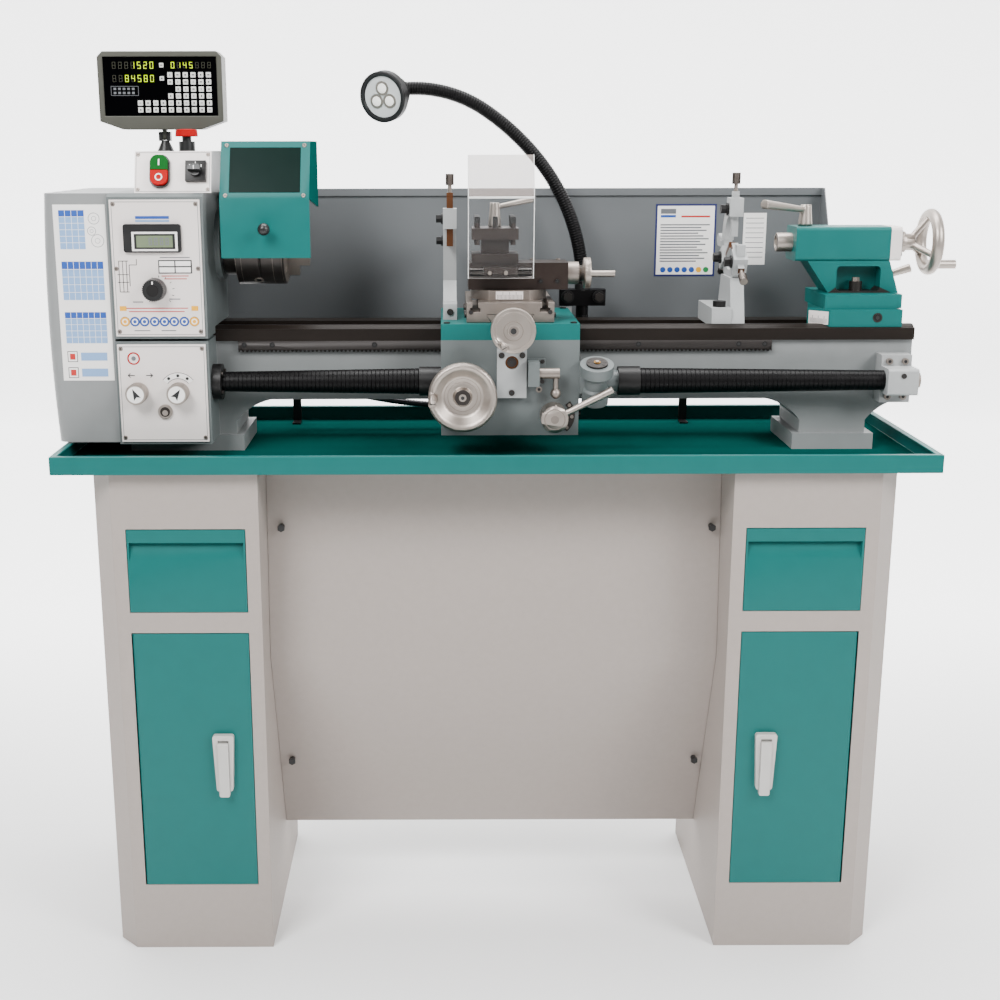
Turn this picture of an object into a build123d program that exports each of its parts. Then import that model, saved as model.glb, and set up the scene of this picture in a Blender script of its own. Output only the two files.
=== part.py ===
from build123d import *
import os
from math import cos, radians, sin, tan

# A bench lathe on its cabinet stand. Sizes are millimetres.
# X runs along the bed to the tailstock, Y away from the operator, Z up from the floor.
# While it is drawn, X is zero at the middle of the chip tray and Y at the tray's front edge.

# Fits shared by many pieces
overrun = 1
slide_gap = 0.3
shaft_gap = 0.05
front_gap = 0.8

# Cabinets
cabinet_height = 778
cabinet_width = 248
cabinet_depth = 385
cabinet_setback = 20
cabinet_spacing = 702
cabinet_sheet = 2
cabinet_chamfer = 30
bay_offset = 109.5
bay_width = 176
bay_step = 34
drawer_height = 128
drawer_length = 330
drawer_front = 18
drawer_sheet = 2
drawer_inset = 8
drawer_body_height = 84
pull_drop = 20
pull_height = 28
pull_depth = 12
pull_margin = 3
door_bottom = 111
door_height = 417
door_depth = 16
door_sheet = 2
door_round = 5
latch_width = 33
latch_height = 92
latch_depth = 9
latch_rise = 209
latch_inset = 44
latch_taper = 4
lever_width = 16
lever_height = 84
lever_depth = 8
lever_groove = 4
lever_pin = 3

# Bent panel between the cabinets
panel_sheet = 2
panel_return = 25
panel_bottom = 113
panel_fold = 465
panel_top_setback = 120
panel_fold_setback = 97
panel_bottom_setback = 235

# Chip tray
tray_width = 1300
tray_depth = 424
tray_height = 27
tray_sheet = 3
tray_lip = 10

# Bed casting
bed_left = -565
bed_length = 1210
bed_front = 160
bed_width = 150
bed_height = 189
bed_depth = 110
way_overhang = 8
way_thickness = 18
way_width = 40
vee_height = 5
vee_foot = 4
vee_slope = 9
vee_crest = 8
rail_width = 34
rib_count = 5
rib_thickness = 16
rib_depth = 60
left_foot_length = 165
right_foot_left = 478
right_foot_length = 102
foot_flange = 25
foot_flange_side = 12
gusset_height = 34
gusset_length = 55
gusset_hollow_share = 0.4

# Rack under the front way
rack_left = -392
rack_teeth = 130
rack_height = 17
rack_tooth = 3
rack_pitch = 6.3

# Headstock, feed gearbox and end cover
centre_height = 125
headstock_length = 139
headstock_overhang = 70
headstock_back = 300
headstock_top = 1176
headstock_edge = 5
headstock_drop = 5
headstock_step = 4
gearbox_bottom = 806
bearing_boss_radius = 56
bearing_boss = 8
cover_width = 95
cover_front = 95
cover_back = 395
cover_bottom = 808
cover_sheet = 3
cover_edge = 18
cover_bow = 6
cover_hole = 22
panel_margin = 4
panel_plate = 3
display_width = 84
display_height = 41
display_depth = 5
display_x = 65
display_z = 1112
oil_plug_radius = 11
oil_plug_x = 71
oil_plug_z = 856

# Main motor behind the bed
motor_radius = 50
motor_length = 150
motor_y = 362
motor_z = 900
motor_boss_radius = 30
motor_boss = 12
motor_rib_count = 12
motor_rib_height = 4
motor_rib_width = 5
motor_foot_height = 60
motor_foot_length = 110

# Spindle and chuck
spindle_radius = 24
spindle_bore = 13
spindle_tail = 75
flange_radius = 48
flange_gap = 3
flange_length = 20
chuck_radius = 62.5
chuck_length = 74
chuck_bore = 16
chuck_groove = 2
jaw_count = 3
jaw_width = 13
jaw_inner = 15
jaw_outer = 56
jaw_length = 34
jaw_step_share = 0.55

# Chuck guard
guard_left = -403
guard_width = 131
guard_front = 100
guard_low = 1082
guard_fold = 1167
guard_high = 1249
guard_high_front = 140
guard_back = 250
guard_side_low = 1150
guard_sheet = 2.5
guard_pivot_y = 262
guard_pivot_z = 1165
guard_pin = 8
guard_hub = 15
guard_hub_length = 7
window_width = 104
window_height_share = 0.78
window_sheet = 3
guard_knob_radius = 9
guard_knob_neck = 4
guard_knob_reach = 22

# Control box on the headstock
box_left = -527
box_right = -415
box_front = 104
box_front_top = 124
box_back = 285
box_height = 59
button_width = 27
button_height = 46
button_base = 6
button_gap = 1
button_reach = 12
button_round = 11
button_x = 37.5
switch_plate = 30
switch_base = 7
switch_knob_radius = 9
switch_grip = 6
switch_reach = 16
switch_x = 90
stop_x = 65
stop_y = 190
stop_collar_radius = 12
stop_collar = 14
stop_radius = 17
stop_cap = 10
stop_stem = 7
stop_edge = 1

# Digital readout
arm_x = 20
arm_y = 258
arm_base_radius = 13
arm_neck_radius = 6
arm_cone = 15
arm_fork = 14
readout_width = 189
readout_height = 103
readout_depth = 42
readout_chamfer = 8
readout_skirt = 12
readout_skirt_width = 120
readout_frame = 8
readout_recess = 2
readout_lug = 10

# Knobs on the panels
speed_knob_radius = 17
speed_knob_depth = 20
speed_knob_skirt = 4
speed_knob_x = 65
speed_knob_z = 1038
feed_knob_radius = 15.5
feed_knob_depth = 22
feed_knob_skirt = 1
feed_knob_z = 885
feed_direction_x = 32
feed_range_x = 93
knob_stem = 5
knob_stem_length = 14

# Leadscrew and its covers
leadscrew_drop = 35
leadscrew_z = 895
leadscrew_radius = 10
leadscrew_flange_radius = 27
leadscrew_flange = 14
cover_small_radius = 15
cover_large_radius = 19.5
cover_inner_radius = 12
cover_turns = 14
cover_lip = 1
collar_radius = 22
collar_length = 33
sleeve_length = 61
sleeve_radius = 16
bracket_right = 637
bracket_length = 46
bracket_height = 73
bracket_nose = 26
bracket_nose_height = 40
leadscrew_nut = 12
leadscrew_end = 8

# Carriage
carriage_x = 22.5
carriage_length = 207
saddle_top = 985
saddle_front = 95
saddle_back = 318
saddle_foot = 961
saddle_edge = 3
apron_bottom = 817
apron_back_gap = 2
bracket_x = 2
bracket_width = 44
bracket_bottom = 876
bracket_depth = 12
bracket_recess_radius = 10
bracket_recess_z = 929
cross_screw_z = 981
cross_shaft = 6
feed_block_width = 33
feed_block_height = 36
feed_block_depth = 10
feed_block_x = 42
feed_block_z = 914
dial_stand = 24
dial_y = 86
dial_radius = 16
dial_thickness = 3
dial_lean = 20
dial_bottom = 866
dial_top = 930
dial_body_radius = 17
dial_foot_radius = 20
dial_foot = 22
dial_flange_radius = 25
dial_flange = 16
dial_arm_height = 26

# Apron handwheel
apron_wheel_x = -71.5
apron_wheel_z = 882
apron_wheel_radius = 51
apron_wheel_hub = 15
apron_wheel_reach = 48
apron_wheel_rim = 13
apron_wheel_shaft = 8
apron_handle_radius = 6
apron_handle_length = 58
apron_handle_at = 44

# Cross-feed handwheel
cross_wheel_radius = 33
cross_wheel_rim = 12
cross_wheel_reach = 42
cross_wheel_dial = 15
cross_handle_radius = 5
cross_handle_length = 34
cross_handle_at = 25
cross_handle_turn = 235
cross_wheel_edge = 1

# Half-nut lever
half_nut_x = 65
half_nut_z = 848
half_nut_radius = 20
half_nut_depth = 40
half_nut_lever_radius = 4
half_nut_lever_tip = 6
half_nut_lever_margin = 6
half_nut_reach = 96
half_nut_rise = 27

# Feed lever
feed_rod_radius = 8
feed_rod_length = 30
feed_rod_stand = 20
feed_arm_radius = 4
feed_arm_length = 30
feed_arm_margin = 5
feed_ball_radius = 8

# Cross slide
cross_left = -65
cross_width = 131
cross_front = 110
cross_length = 180
cross_top = 1015
dovetail_low = 56
dovetail_high = 70
dovetail_height = 12
slot_offset = 52
slot_width = 9
slot_depth = 14
slot_foot = 15
slot_foot_height = 6

# Swivel base and top slide
swivel_y = 188
swivel_radius = 58
swivel_height = 15
swivel_flat = 50
rail_margin = 2
rail_low = 28
rail_high = 38
rail_height = 11
rail_left = -58
top_left = -62
top_length = 151
top_travel = 35
top_width = 64
top_height = 40
top_nose = 18
top_nose_radius = 17
top_screw_rise = 16
top_shaft = 6
top_shaft_seat = 16
top_dial_radius = 12
top_dial = 8
top_wheel_radius = 23
top_wheel_rim = 10
top_handle_radius = 5
top_handle_length = 36
top_handle_at = 15

# Tool post
post_x = -21.5
post_y = 182
post_width = 70
post_core = 42
post_plate = 13
post_throat = 21
post_cap = 17
post_bolt_radius = 4
post_bolt_rise = 12
post_bolt_margin = 8
stud_radius = 5
post_lever_foot = 10
post_lever_head = 7
post_lever_height = 36
post_lever_reach = 58
post_lever_rise = 12
post_lever_radius = 3.5
post_lever_tip = 4.5

# Tool guard
shield_left = -63
shield_width = 98
shield_sheet = 3
shield_front = 112
shield_low = 1050
shield_fold = 1168
shield_high = 1229
shield_high_y = 142
shield_foot_y = 116
shield_pin_y = 124
shield_pin_z = 1058
shield_pin = 4
shield_hub = 7
shield_hub_length = 20
shield_block_margin = 3

# Follow rest
follow_stand = 14
follow_thickness = 21
follow_front = 150
follow_foot_height = 24
follow_foot_length = 46
follow_arm_height = 18
follow_back = 306
follow_column = 26
follow_head_low = 1117
follow_head_high = 1148
follow_head_width = 28
finger_width = 10
follow_finger_low = 1090
follow_finger_high = 1172
follow_rear_tip = 250
finger_screw = 3
finger_screw_length = 11
finger_knob_radius = 6
finger_knob_length = 17

# Steady rest
steady_x = 376
steady_thickness = 21
steady_ring_thickness = 13
steady_ring_outer = 62
steady_ring_inner = 42
steady_foot_length = 30
steady_foot_height = 24
steady_waist = 76
steady_base = 122
steady_head_width = 28
steady_head_reach = 68
steady_head_base = 38
steady_finger_tip = 9
steady_finger_tail = 78
steady_angle = 30
steady_pin = 5
steady_lug = 10
steady_nut_radius = 10
steady_nut = 9

# Tailstock
tail_left = 466
barrel_length = 146
barrel_width = 66
barrel_low = 27
barrel_high = 25
barrel_edge = 6
end_plate = 17
quill_radius = 14.5
quill_reach = 24
quill_length = 140
quill_bore = 8
quill_bore_length = 50
quill_edge = 1
pedestal_width = 60
pedestal_left = 54
pedestal_flare = 16
pedestal_lean = 34
pedestal_height = 49
window_left = 66
window_right = 134
window_depth = 28
window_sill = 3
window_lintel = 8
window_edge = 6
tail_top_length = 111
tail_top_back = 10
tail_top_width = 126
tail_top_height = 22
tail_base_length = 139
tail_base_width = 140
tail_base_back = 3
tail_slant = 28
clamp_bolt_radius = 10
clamp_bolt_height = 14
tail_wheel_radius = 51
tail_wheel_ring = 9
rim_facet = 45
tail_wheel_dish = 40
tail_wheel_hub = 13
tail_wheel_dial = 16
tail_wheel_dial_length = 13
tail_wheel_shaft = 8
tail_wheel_shaft_length = 16
tail_spoke_count = 3
tail_spoke_radius = 5
tail_handle_radius = 7
tail_handle_length = 50
tail_handle_turn = 300
lock_x = 20
lock_foot = 11
lock_head = 8
lock_height = 32
lock_reach = 78
lock_lean = 60
lock_rise = 11
lock_lever_radius = 4.5
lock_lever_tip = 7
lock_stud = 5
clamp_pin_back = 7
clamp_pin_z = 1038
clamp_pin = 5
clamp_hub = 10
clamp_hub_length = 12
clamp_reach = 44
clamp_rise = 14
clamp_lever_radius = 4.5
clamp_lever_tip = 7

# Splash guard
splash_left = -395
splash_end = -490
splash_step = 970
splash_right = 550
splash_back = 392
splash_sheet = 2
splash_low = 840
splash_high = 1174
splash_hem = 12
splash_hem_depth = 5
splash_wing_top = 20
splash_wing_reach = 70
splash_wing_knee = 1090
strut_width = 14
strut_sheet = 3
strut_foot = 20
strut_shares = (0.07, 0.42, 0.77)

# Work lamp
lamp_x = 127.5
lamp_y = 328
lamp_plate_left = 90
lamp_plate_width = 20
lamp_plate_low = 956
clamp_left = 90
clamp_right = 165
clamp_low = 988
clamp_height = 26
clamp_depth = 30
gland_radius = 10
gland_length = 24
neck_radius = 10
neck_reach = 286
neck_rise = 316
neck_shares = ((0.259, 0.652), (0.566, 0.899), (1, 1))
head_radius = 39
head_back_radius = 24
head_length = 52
head_rim = 14
head_recess = 4
head_recess_radius = 32
head_side = 36
head_front = 36
head_drop = 14
head_turn = 25
head_nod = 10

# Armoured lamp conduit behind the bed
conduit_radius = 5.5
conduit_bend_share = 0.45
outlet_radius = 10
outlet_length = 18
outlet_x = -322
outlet_y = 326
outlet_z = 866
conduit_route = (
    (outlet_x, outlet_y, outlet_z),
    (-288, 326, 866),
    (-240, 327, 846),
    (-180, 328, 832),
    (-112, 330, 823),
    (-40, 331, 819),
    (28, 332, 822),
    (82, 331, 838),
    (120, 329, 868),
    (142, 328, 905),
    (150, 328, 938),
    (150, 328, 964),
)

# Levels and places that follow from the sizes above
tray_floor = cabinet_height + tray_sheet
tray_top = cabinet_height + tray_height
way_top = tray_floor + bed_height
vee_top = way_top + vee_height
bed_bottom = way_top - bed_depth
bed_right = bed_left + bed_length
bed_back = bed_front + bed_width
wall_front = bed_front + way_overhang
way_bottom = way_top - way_thickness
spindle_y = bed_front + bed_width / 2
spindle_z = way_top + centre_height
headstock_front = bed_front - headstock_overhang
headstock_right = bed_left + headstock_length
headstock_bottom = way_top - headstock_drop
gearbox_top = headstock_bottom - headstock_step
cabinet_inner = -cabinet_spacing / 2
cabinet_outer = cabinet_inner - cabinet_width
cabinet_front = cabinet_setback
cabinet_back = cabinet_setback + cabinet_depth
bay_left = cabinet_inner - bay_offset - bay_width / 2
bay_right = bay_left + bay_width
door_top = door_bottom + door_height
drawer_bottom = door_top + bay_step
drawer_top = drawer_bottom + drawer_height
latch_middle = door_bottom + latch_rise
leadscrew_y = bed_front - leadscrew_drop
carriage_left = carriage_x - carriage_length / 2
carriage_right = carriage_left + carriage_length
dial_x = carriage_right + dial_stand
follow_x = carriage_left + follow_stand
apron_back = bed_front - apron_back_gap
cross_bottom = saddle_top + slide_gap
swivel_bottom = cross_top
swivel_top = swivel_bottom + slide_gap + swivel_height
top_bottom = swivel_top + slide_gap
top_top = top_bottom + top_height
post_bottom = top_top + slide_gap
post_top = post_bottom + post_plate + post_throat + post_cap
top_screw_z = top_bottom + top_screw_rise
top_right = carriage_x + top_left + top_length
rail_length = top_left + top_length - top_travel - rail_margin - rail_left
nose_right = top_right + top_nose
barrel_right = tail_left + barrel_length
plate_right = barrel_right + end_plate
quill_tip = tail_left - quill_reach
box_bottom = headstock_top
box_top = box_bottom + box_height
readout_pivot_z = box_top + arm_cone + arm_fork / 2
readout_bottom = readout_pivot_z + readout_lug

TURNS = {
    "X": Rot(0, 90, 0),
    "-X": Rot(0, -90, 0),
    "Y": Rot(-90, 0, 0),
    "-Y": Rot(90, 0, 0),
    "Z": Rot(0, 0, 0),
    "-Z": Rot(180, 0, 0),
}
ON_END = (Align.CENTER, Align.CENTER, Align.MIN)


def block(x, y, z):
    """A box between two limits on each axis."""
    sizes = [high - low for low, high in (x, y, z)]
    return Pos(x[0], y[0], z[0]) * Box(*sizes, align=Align.MIN)


def rounded(x, y, z, axis, radius):
    """A box whose edges along one axis are rounded."""
    solid = block(x, y, z)
    return fillet(solid.edges().filter_by(axis), radius)


def rod(axis, at, length, radius, end_radius=None):
    """A round bar, or a cone, that starts at a point and runs along an axis."""
    if end_radius is None:
        shape = Cylinder(radius, length, align=ON_END)
    else:
        shape = Cone(radius, end_radius, length, align=ON_END)
    return Pos(*at) * TURNS[axis] * shape


def bar(start, end, radius, end_radius=None):
    """A round bar, or a tapered one, between two points."""
    run = Vector(*end) - Vector(*start)
    if end_radius is None:
        shape = Cylinder(radius, run.length, align=ON_END)
    else:
        shape = Cone(radius, end_radius, run.length, align=ON_END)
    return Plane(origin=start, z_dir=run) * shape


def spun(axis, at, outline):
    """An outline of (distance along the axis, radius) turned about the axis."""
    section = make_face(Polyline(*[(radius, 0, along) for along, radius in outline], close=True))
    return Pos(*at) * TURNS[axis] * revolve(section, Axis.Z)


def prism(axis, outline, span):
    """A flat outline, given on the other two axes, drawn out along an axis."""
    low, high = span
    spots = {
        "X": lambda a, b: (low, a, b),
        "Y": lambda a, b: (a, low, b),
        "Z": lambda a, b: (a, b, low),
    }[axis]
    ways = {"X": (1, 0, 0), "Y": (0, 1, 0), "Z": (0, 0, 1)}
    face = make_face(Polyline(*[spots(a, b) for a, b in outline], close=True))
    return extrude(face, amount=high - low, dir=ways[axis])


def ring_point(y, z, radius, degrees):
    """A point on a circle that faces along X, with zero degrees along Y."""
    return y + radius * cos(radians(degrees)), z + radius * sin(radians(degrees))


def chip_tray():
    half = tray_width / 2
    pan = block((-half, half), (0, tray_depth), (cabinet_height, tray_top))
    inner = half - tray_sheet
    hollow = block(
        (-inner, inner),
        (tray_sheet, tray_depth - tray_sheet),
        (tray_floor, tray_top - tray_sheet),
    )
    mouth = block(
        (-half + tray_lip, half - tray_lip),
        (tray_lip, tray_depth - tray_lip),
        (tray_floor, tray_top + overrun),
    )
    return pan - hollow - mouth


def cabinet_outline():
    return [
        (cabinet_inner, cabinet_front),
        (cabinet_outer + cabinet_chamfer, cabinet_front),
        (cabinet_outer, cabinet_front + cabinet_chamfer),
        (cabinet_outer, cabinet_back),
        (cabinet_inner, cabinet_back),
    ]


def left_cabinet():
    shell = prism("Z", cabinet_outline(), (0, cabinet_height))
    floor_plan = make_face(Polyline(*[(x, y, 0) for x, y in cabinet_outline()], close=True))
    inside = offset(floor_plan, amount=-cabinet_sheet, kind=Kind.INTERSECTION)
    hollow_height = cabinet_height - 2 * cabinet_sheet
    hollow = Pos(0, 0, cabinet_sheet) * extrude(inside, amount=hollow_height, dir=(0, 0, 1))
    shelf_z = (drawer_bottom - front_gap - cabinet_sheet, drawer_bottom - front_gap)
    shelf = hollow & block((cabinet_outer, cabinet_inner), (cabinet_front, cabinet_back), shelf_z)
    mouth_x = (bay_left - front_gap, bay_right + front_gap)
    mouth_y = (cabinet_front - overrun, cabinet_front + cabinet_sheet)
    drawer_mouth = block(mouth_x, mouth_y, (drawer_bottom - front_gap, drawer_top + front_gap))
    door_mouth = block(mouth_x, mouth_y, (door_bottom - front_gap, door_top + front_gap))
    return shell - hollow + shelf - drawer_mouth - door_mouth


def left_drawer():
    front_y = (cabinet_front, cabinet_front + drawer_front)
    front = block((bay_left, bay_right), front_y, (drawer_bottom, drawer_top))
    pull_high = drawer_top - pull_drop
    pull = prism(
        "X",
        [
            (cabinet_front - overrun, pull_high),
            (cabinet_front + pull_depth, pull_high),
            (cabinet_front, pull_high - pull_height),
            (cabinet_front - overrun, pull_high - pull_height),
        ],
        (bay_left + pull_margin, bay_right - pull_margin),
    )
    body_x = (bay_left + drawer_inset, bay_right - drawer_inset)
    body_z = drawer_bottom - front_gap + slide_gap
    body = block(
        body_x,
        (cabinet_front + drawer_front, cabinet_front + drawer_length),
        (body_z, body_z + drawer_body_height),
    )
    hollow = block(
        (body_x[0] + drawer_sheet, body_x[1] - drawer_sheet),
        (cabinet_front + drawer_front, cabinet_front + drawer_length - drawer_sheet),
        (body_z + drawer_sheet, body_z + drawer_body_height + overrun),
    )
    return front - pull + (body - hollow)


def latch_middle_x():
    return bay_right - latch_inset


def hinge_edge(solid):
    """The upright edge at the front on the outer side, which the door turns about."""
    return solid.edges().filter_by(Axis.Z).group_by(Axis.X)[0].sort_by(Axis.Y)[0]


def left_door():
    sheet_y = (cabinet_front, cabinet_front + door_depth)
    panel = block((bay_left, bay_right), sheet_y, (door_bottom, door_top))
    panel = fillet(hinge_edge(panel), door_round)
    hollow = block(
        (bay_left + door_sheet, bay_right - door_sheet),
        (cabinet_front + door_sheet, cabinet_front + door_depth + overrun),
        (door_bottom + door_sheet, door_top - door_sheet),
    )
    hollow = fillet(hinge_edge(hollow), door_round - door_sheet)
    middle = latch_middle_x()
    half = latch_width / 2
    low = latch_middle - latch_height / 2
    high = latch_middle + latch_height / 2
    plate = prism(
        "Y",
        [
            (middle - half, high),
            (middle - half + latch_taper, low),
            (middle + half - latch_taper, low),
            (middle + half, high),
        ],
        (cabinet_front - latch_depth, cabinet_front),
    )
    plate = fillet(plate.edges().filter_by(Axis.Y), latch_taper)
    groove_half = lever_width / 2 + slide_gap
    groove = block(
        (middle - groove_half, middle + groove_half),
        (cabinet_front - latch_depth - overrun, cabinet_front - latch_depth + lever_groove),
        (low - overrun, low + lever_height),
    )
    return Compound(children=[panel - hollow, plate - groove])


def latch_pivot():
    low = latch_middle - latch_height / 2
    z = low + lever_height - lever_depth
    y = cabinet_front - latch_depth + lever_groove - slide_gap - lever_depth / 2
    return latch_middle_x(), y, z


def left_latch_lever():
    middle, pivot_y, pivot_z = latch_pivot()
    half = lever_width / 2
    low = pivot_z - lever_height
    grip = block(
        (middle - half, middle + half),
        (pivot_y - lever_depth / 2, pivot_y + lever_depth / 2),
        (low, pivot_z),
    )
    head = rod("X", (middle - half, pivot_y, pivot_z), lever_width, lever_depth / 2)
    lower = grip.edges().filter_by(Axis.Y).group_by(Axis.Z)[0]
    return fillet(lower, lever_pin) + head


def rear_panel():
    half = cabinet_spacing / 2
    front = [
        (panel_top_setback, cabinet_height),
        (panel_fold_setback, panel_fold),
        (panel_bottom_setback, panel_bottom),
    ]
    back = [(y + panel_return, z) for y, z in reversed(front)]
    solid = prism("X", front + back, (-half, half))
    inner_front = [(y + panel_sheet, z) for y, z in front]
    inner_back = [(y + panel_return + overrun, z) for y, z in reversed(front)]
    hollow = prism("X", inner_front + inner_back, (-half + panel_sheet, half - panel_sheet))
    return solid - hollow


def front_way(gap):
    """The raised outline of the front way, grown by a gap for what slides on it."""
    return [
        (bed_front - gap, way_bottom - gap),
        (bed_front - gap, way_top + gap),
        (bed_front + vee_foot, way_top + gap),
        (bed_front + vee_foot + vee_slope, vee_top + gap),
        (bed_front + vee_foot + vee_slope + vee_crest, vee_top + gap),
        (bed_front + vee_foot + 2 * vee_slope + vee_crest, way_top + gap),
        (bed_front + way_width + gap, way_top + gap),
        (bed_front + way_width + gap, way_bottom - gap),
    ]


def rear_way(gap):
    return [
        (bed_back + gap, way_bottom - gap),
        (bed_back + gap, way_top + gap),
        (bed_back - way_width - gap, way_top + gap),
        (bed_back - way_width - gap, way_bottom - gap),
    ]


def way_clearance(span):
    """What a sliding piece cuts away to sit over both ways."""
    return prism("X", front_way(slide_gap), span) + prism("X", rear_way(slide_gap), span)


def bed():
    span = (bed_left, bed_right)
    wall_back = bed_back - way_overhang
    casting = prism("X", front_way(0), span) + prism("X", rear_way(0), span)
    casting += block(span, (wall_front, wall_front + rail_width), (bed_bottom, way_bottom))
    casting += block(span, (wall_back - rail_width, wall_back), (bed_bottom, way_bottom))
    between = (wall_front + rail_width, wall_back - rail_width)
    rib_step = (bed_length - rib_thickness) / (rib_count + 1)
    for number in range(rib_count + 2):
        rib_x = bed_left + number * rib_step
        casting += block((rib_x, rib_x + rib_thickness), between, (bed_bottom, bed_bottom + rib_depth))
    left_foot = (bed_left, bed_left + left_foot_length)
    right_foot = (right_foot_left, right_foot_left + right_foot_length)
    for low, high in (left_foot, right_foot):
        casting += block((low, high), (wall_front, wall_back), (tray_floor, bed_bottom))
        flange_x = (max(low - foot_flange_side, bed_left), high + foot_flange_side)
        casting += block(flange_x, (bed_front, bed_back), (tray_floor, tray_floor + foot_flange))
    slopes = ((left_foot[1], 1), (right_foot[0], -1), (right_foot[1], 1))
    for start, way in slopes:
        corner = Vector(start, wall_front, bed_bottom)
        along = corner + Vector(way * gusset_length, 0, 0)
        below = corner - Vector(0, 0, gusset_height)
        middle = corner + ((along - corner) + (below - corner)) * gusset_hollow_share
        gusset = make_face([ThreePointArc(along, middle, below), Polyline(below, corner, along)])
        casting += extrude(gusset, amount=wall_back - wall_front, dir=(0, 1, 0))
    pad = block((bed_left, headstock_right), (bed_front, wall_front), (gearbox_bottom, way_bottom))
    outlet = rod("-X", (outlet_x, outlet_y, outlet_z), outlet_length, outlet_radius)
    outlet += block(
        (outlet_x - outlet_length, outlet_x),
        (wall_back, outlet_y),
        (outlet_z - outlet_radius / 2, outlet_z + outlet_radius / 2),
    )
    return casting + pad + outlet


def rack():
    low = way_bottom - rack_height
    outline = [(rack_left, way_bottom)]
    for number in range(rack_teeth):
        start = rack_left + number * rack_pitch
        outline += [(start, low), (start + rack_pitch / 4, low)]
        outline += [(start + rack_pitch / 2, low + rack_tooth), (start + rack_pitch * 3 / 4, low + rack_tooth)]
    right = rack_left + rack_teeth * rack_pitch
    outline += [(right, low), (right, way_bottom)]
    return prism("Y", outline, (bed_front, wall_front))


def headstock():
    over_bed = block((bed_left, headstock_right), (bed_front, headstock_back), (vee_top, headstock_top))
    front_part = block(
        (bed_left, headstock_right),
        (headstock_front, bed_front - slide_gap),
        (headstock_bottom, headstock_top),
    )
    neck = block(
        (bed_left, headstock_right),
        (bed_front - slide_gap, bed_front),
        (vee_top, headstock_top),
    )
    casting = over_bed + front_part + neck
    tops = casting.edges().filter_by(Axis.X).group_by(Axis.Z)[-1]
    casting = chamfer(tops, headstock_edge)
    casting += rod("X", (headstock_right, spindle_y, spindle_z), bearing_boss, bearing_boss_radius)
    bore_length = headstock_length + bearing_boss + 2 * overrun
    casting -= rod("X", (bed_left - overrun, spindle_y, spindle_z), bore_length, spindle_radius + shaft_gap)
    pin_length = guard_left - headstock_right + guard_hub_length
    casting += rod("X", (headstock_right, guard_pivot_y, guard_pivot_z), pin_length, guard_pin)
    stem_x = bed_left + speed_knob_x
    casting -= rod(
        "Y",
        (stem_x, headstock_front - overrun, speed_knob_z),
        knob_stem_length + overrun,
        knob_stem + shaft_gap,
    )
    return casting


def feed_gearbox():
    casting = block((bed_left, headstock_right), (headstock_front, bed_front), (gearbox_bottom, gearbox_top))
    place = (headstock_right, leadscrew_y, leadscrew_z)
    casting += rod("X", place, leadscrew_flange, leadscrew_flange_radius)
    bore = rod("-X", (headstock_right + leadscrew_flange + overrun, leadscrew_y, leadscrew_z),
               leadscrew_flange + bracket_length + overrun, leadscrew_radius + shaft_gap)
    casting -= bore
    for offset_x in (feed_direction_x, feed_range_x):
        at = (bed_left + offset_x, headstock_front - overrun, feed_knob_z)
        casting -= rod("Y", at, knob_stem_length + overrun, knob_stem + shaft_gap)
    return casting


def cover_form(wall, right):
    """The end cover with its bowed outer side, drawn in by a wall."""
    left = bed_left - cover_width + wall
    low = cover_bottom + wall
    high = headstock_top - wall
    front = cover_front + wall
    bow = ThreePointArc((left, front, low), (left - cover_bow, front, (low + high) / 2), (left, front, high))
    sides = Polyline((left, front, high), (right, front, high), (right, front, low), (left, front, low))
    solid = extrude(make_face([bow, sides]), amount=cover_back - wall - front, dir=(0, 1, 0))
    return fillet(solid.edges().filter_by(GeomType.CIRCLE), cover_edge - wall)


def gear_cover():
    outer_left = bed_left - cover_width - cover_bow
    hole_length = cover_bow + cover_sheet + 2 * overrun
    hole = rod("X", (outer_left - overrun, spindle_y, spindle_z), hole_length, cover_hole)
    return cover_form(0, bed_left) - cover_form(cover_sheet, bed_left + overrun) - hole


def front_plates():
    x = (bed_left + panel_margin, headstock_right - panel_margin)
    y = (headstock_front - panel_plate, headstock_front)
    upper = block(x, y, (headstock_bottom + panel_margin, headstock_top - panel_margin - headstock_edge))
    display_left = bed_left + display_x - display_width / 2
    bezel = rounded(
        (display_left, display_left + display_width),
        (y[0] - display_depth, y[0]),
        (display_z - display_height / 2, display_z + display_height / 2),
        Axis.Y,
        panel_margin,
    )
    knob_place = (bed_left + speed_knob_x, y[0] - overrun, speed_knob_z)
    hole_length = panel_plate + 2 * overrun
    upper = upper + bezel - rod("Y", knob_place, hole_length, knob_stem + slide_gap)
    lower = block(x, y, (gearbox_bottom + panel_margin, gearbox_top - panel_margin))
    for offset_x in (feed_direction_x, feed_range_x):
        lower -= rod(
            "Y", (bed_left + offset_x, y[0] - overrun, feed_knob_z), hole_length, knob_stem + slide_gap,
        )
    plug_place = (bed_left + oil_plug_x, y[0], oil_plug_z)
    lower += rod("-Y", plug_place, panel_plate, oil_plug_radius)
    return Compound(children=[upper, lower])


def panel_knob(x, z, radius, depth, skirt):
    """A turned knob with a stem that runs in its plate."""
    seat = headstock_front - panel_plate
    outline = [
        (-knob_stem_length - panel_plate, 0),
        (-knob_stem_length - panel_plate, knob_stem),
        (0, knob_stem),
        (0, radius),
        (skirt, radius),
        (depth, radius - skirt / 2),
        (depth, 0),
    ]
    raised = [(along + slide_gap, reach) for along, reach in outline]
    return spun("-Y", (bed_left + x, seat, z), raised)


def speed_knob():
    return panel_knob(speed_knob_x, speed_knob_z, speed_knob_radius, speed_knob_depth, speed_knob_skirt)


def feed_direction_knob():
    return panel_knob(feed_direction_x, feed_knob_z, feed_knob_radius, feed_knob_depth, feed_knob_skirt)


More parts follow.
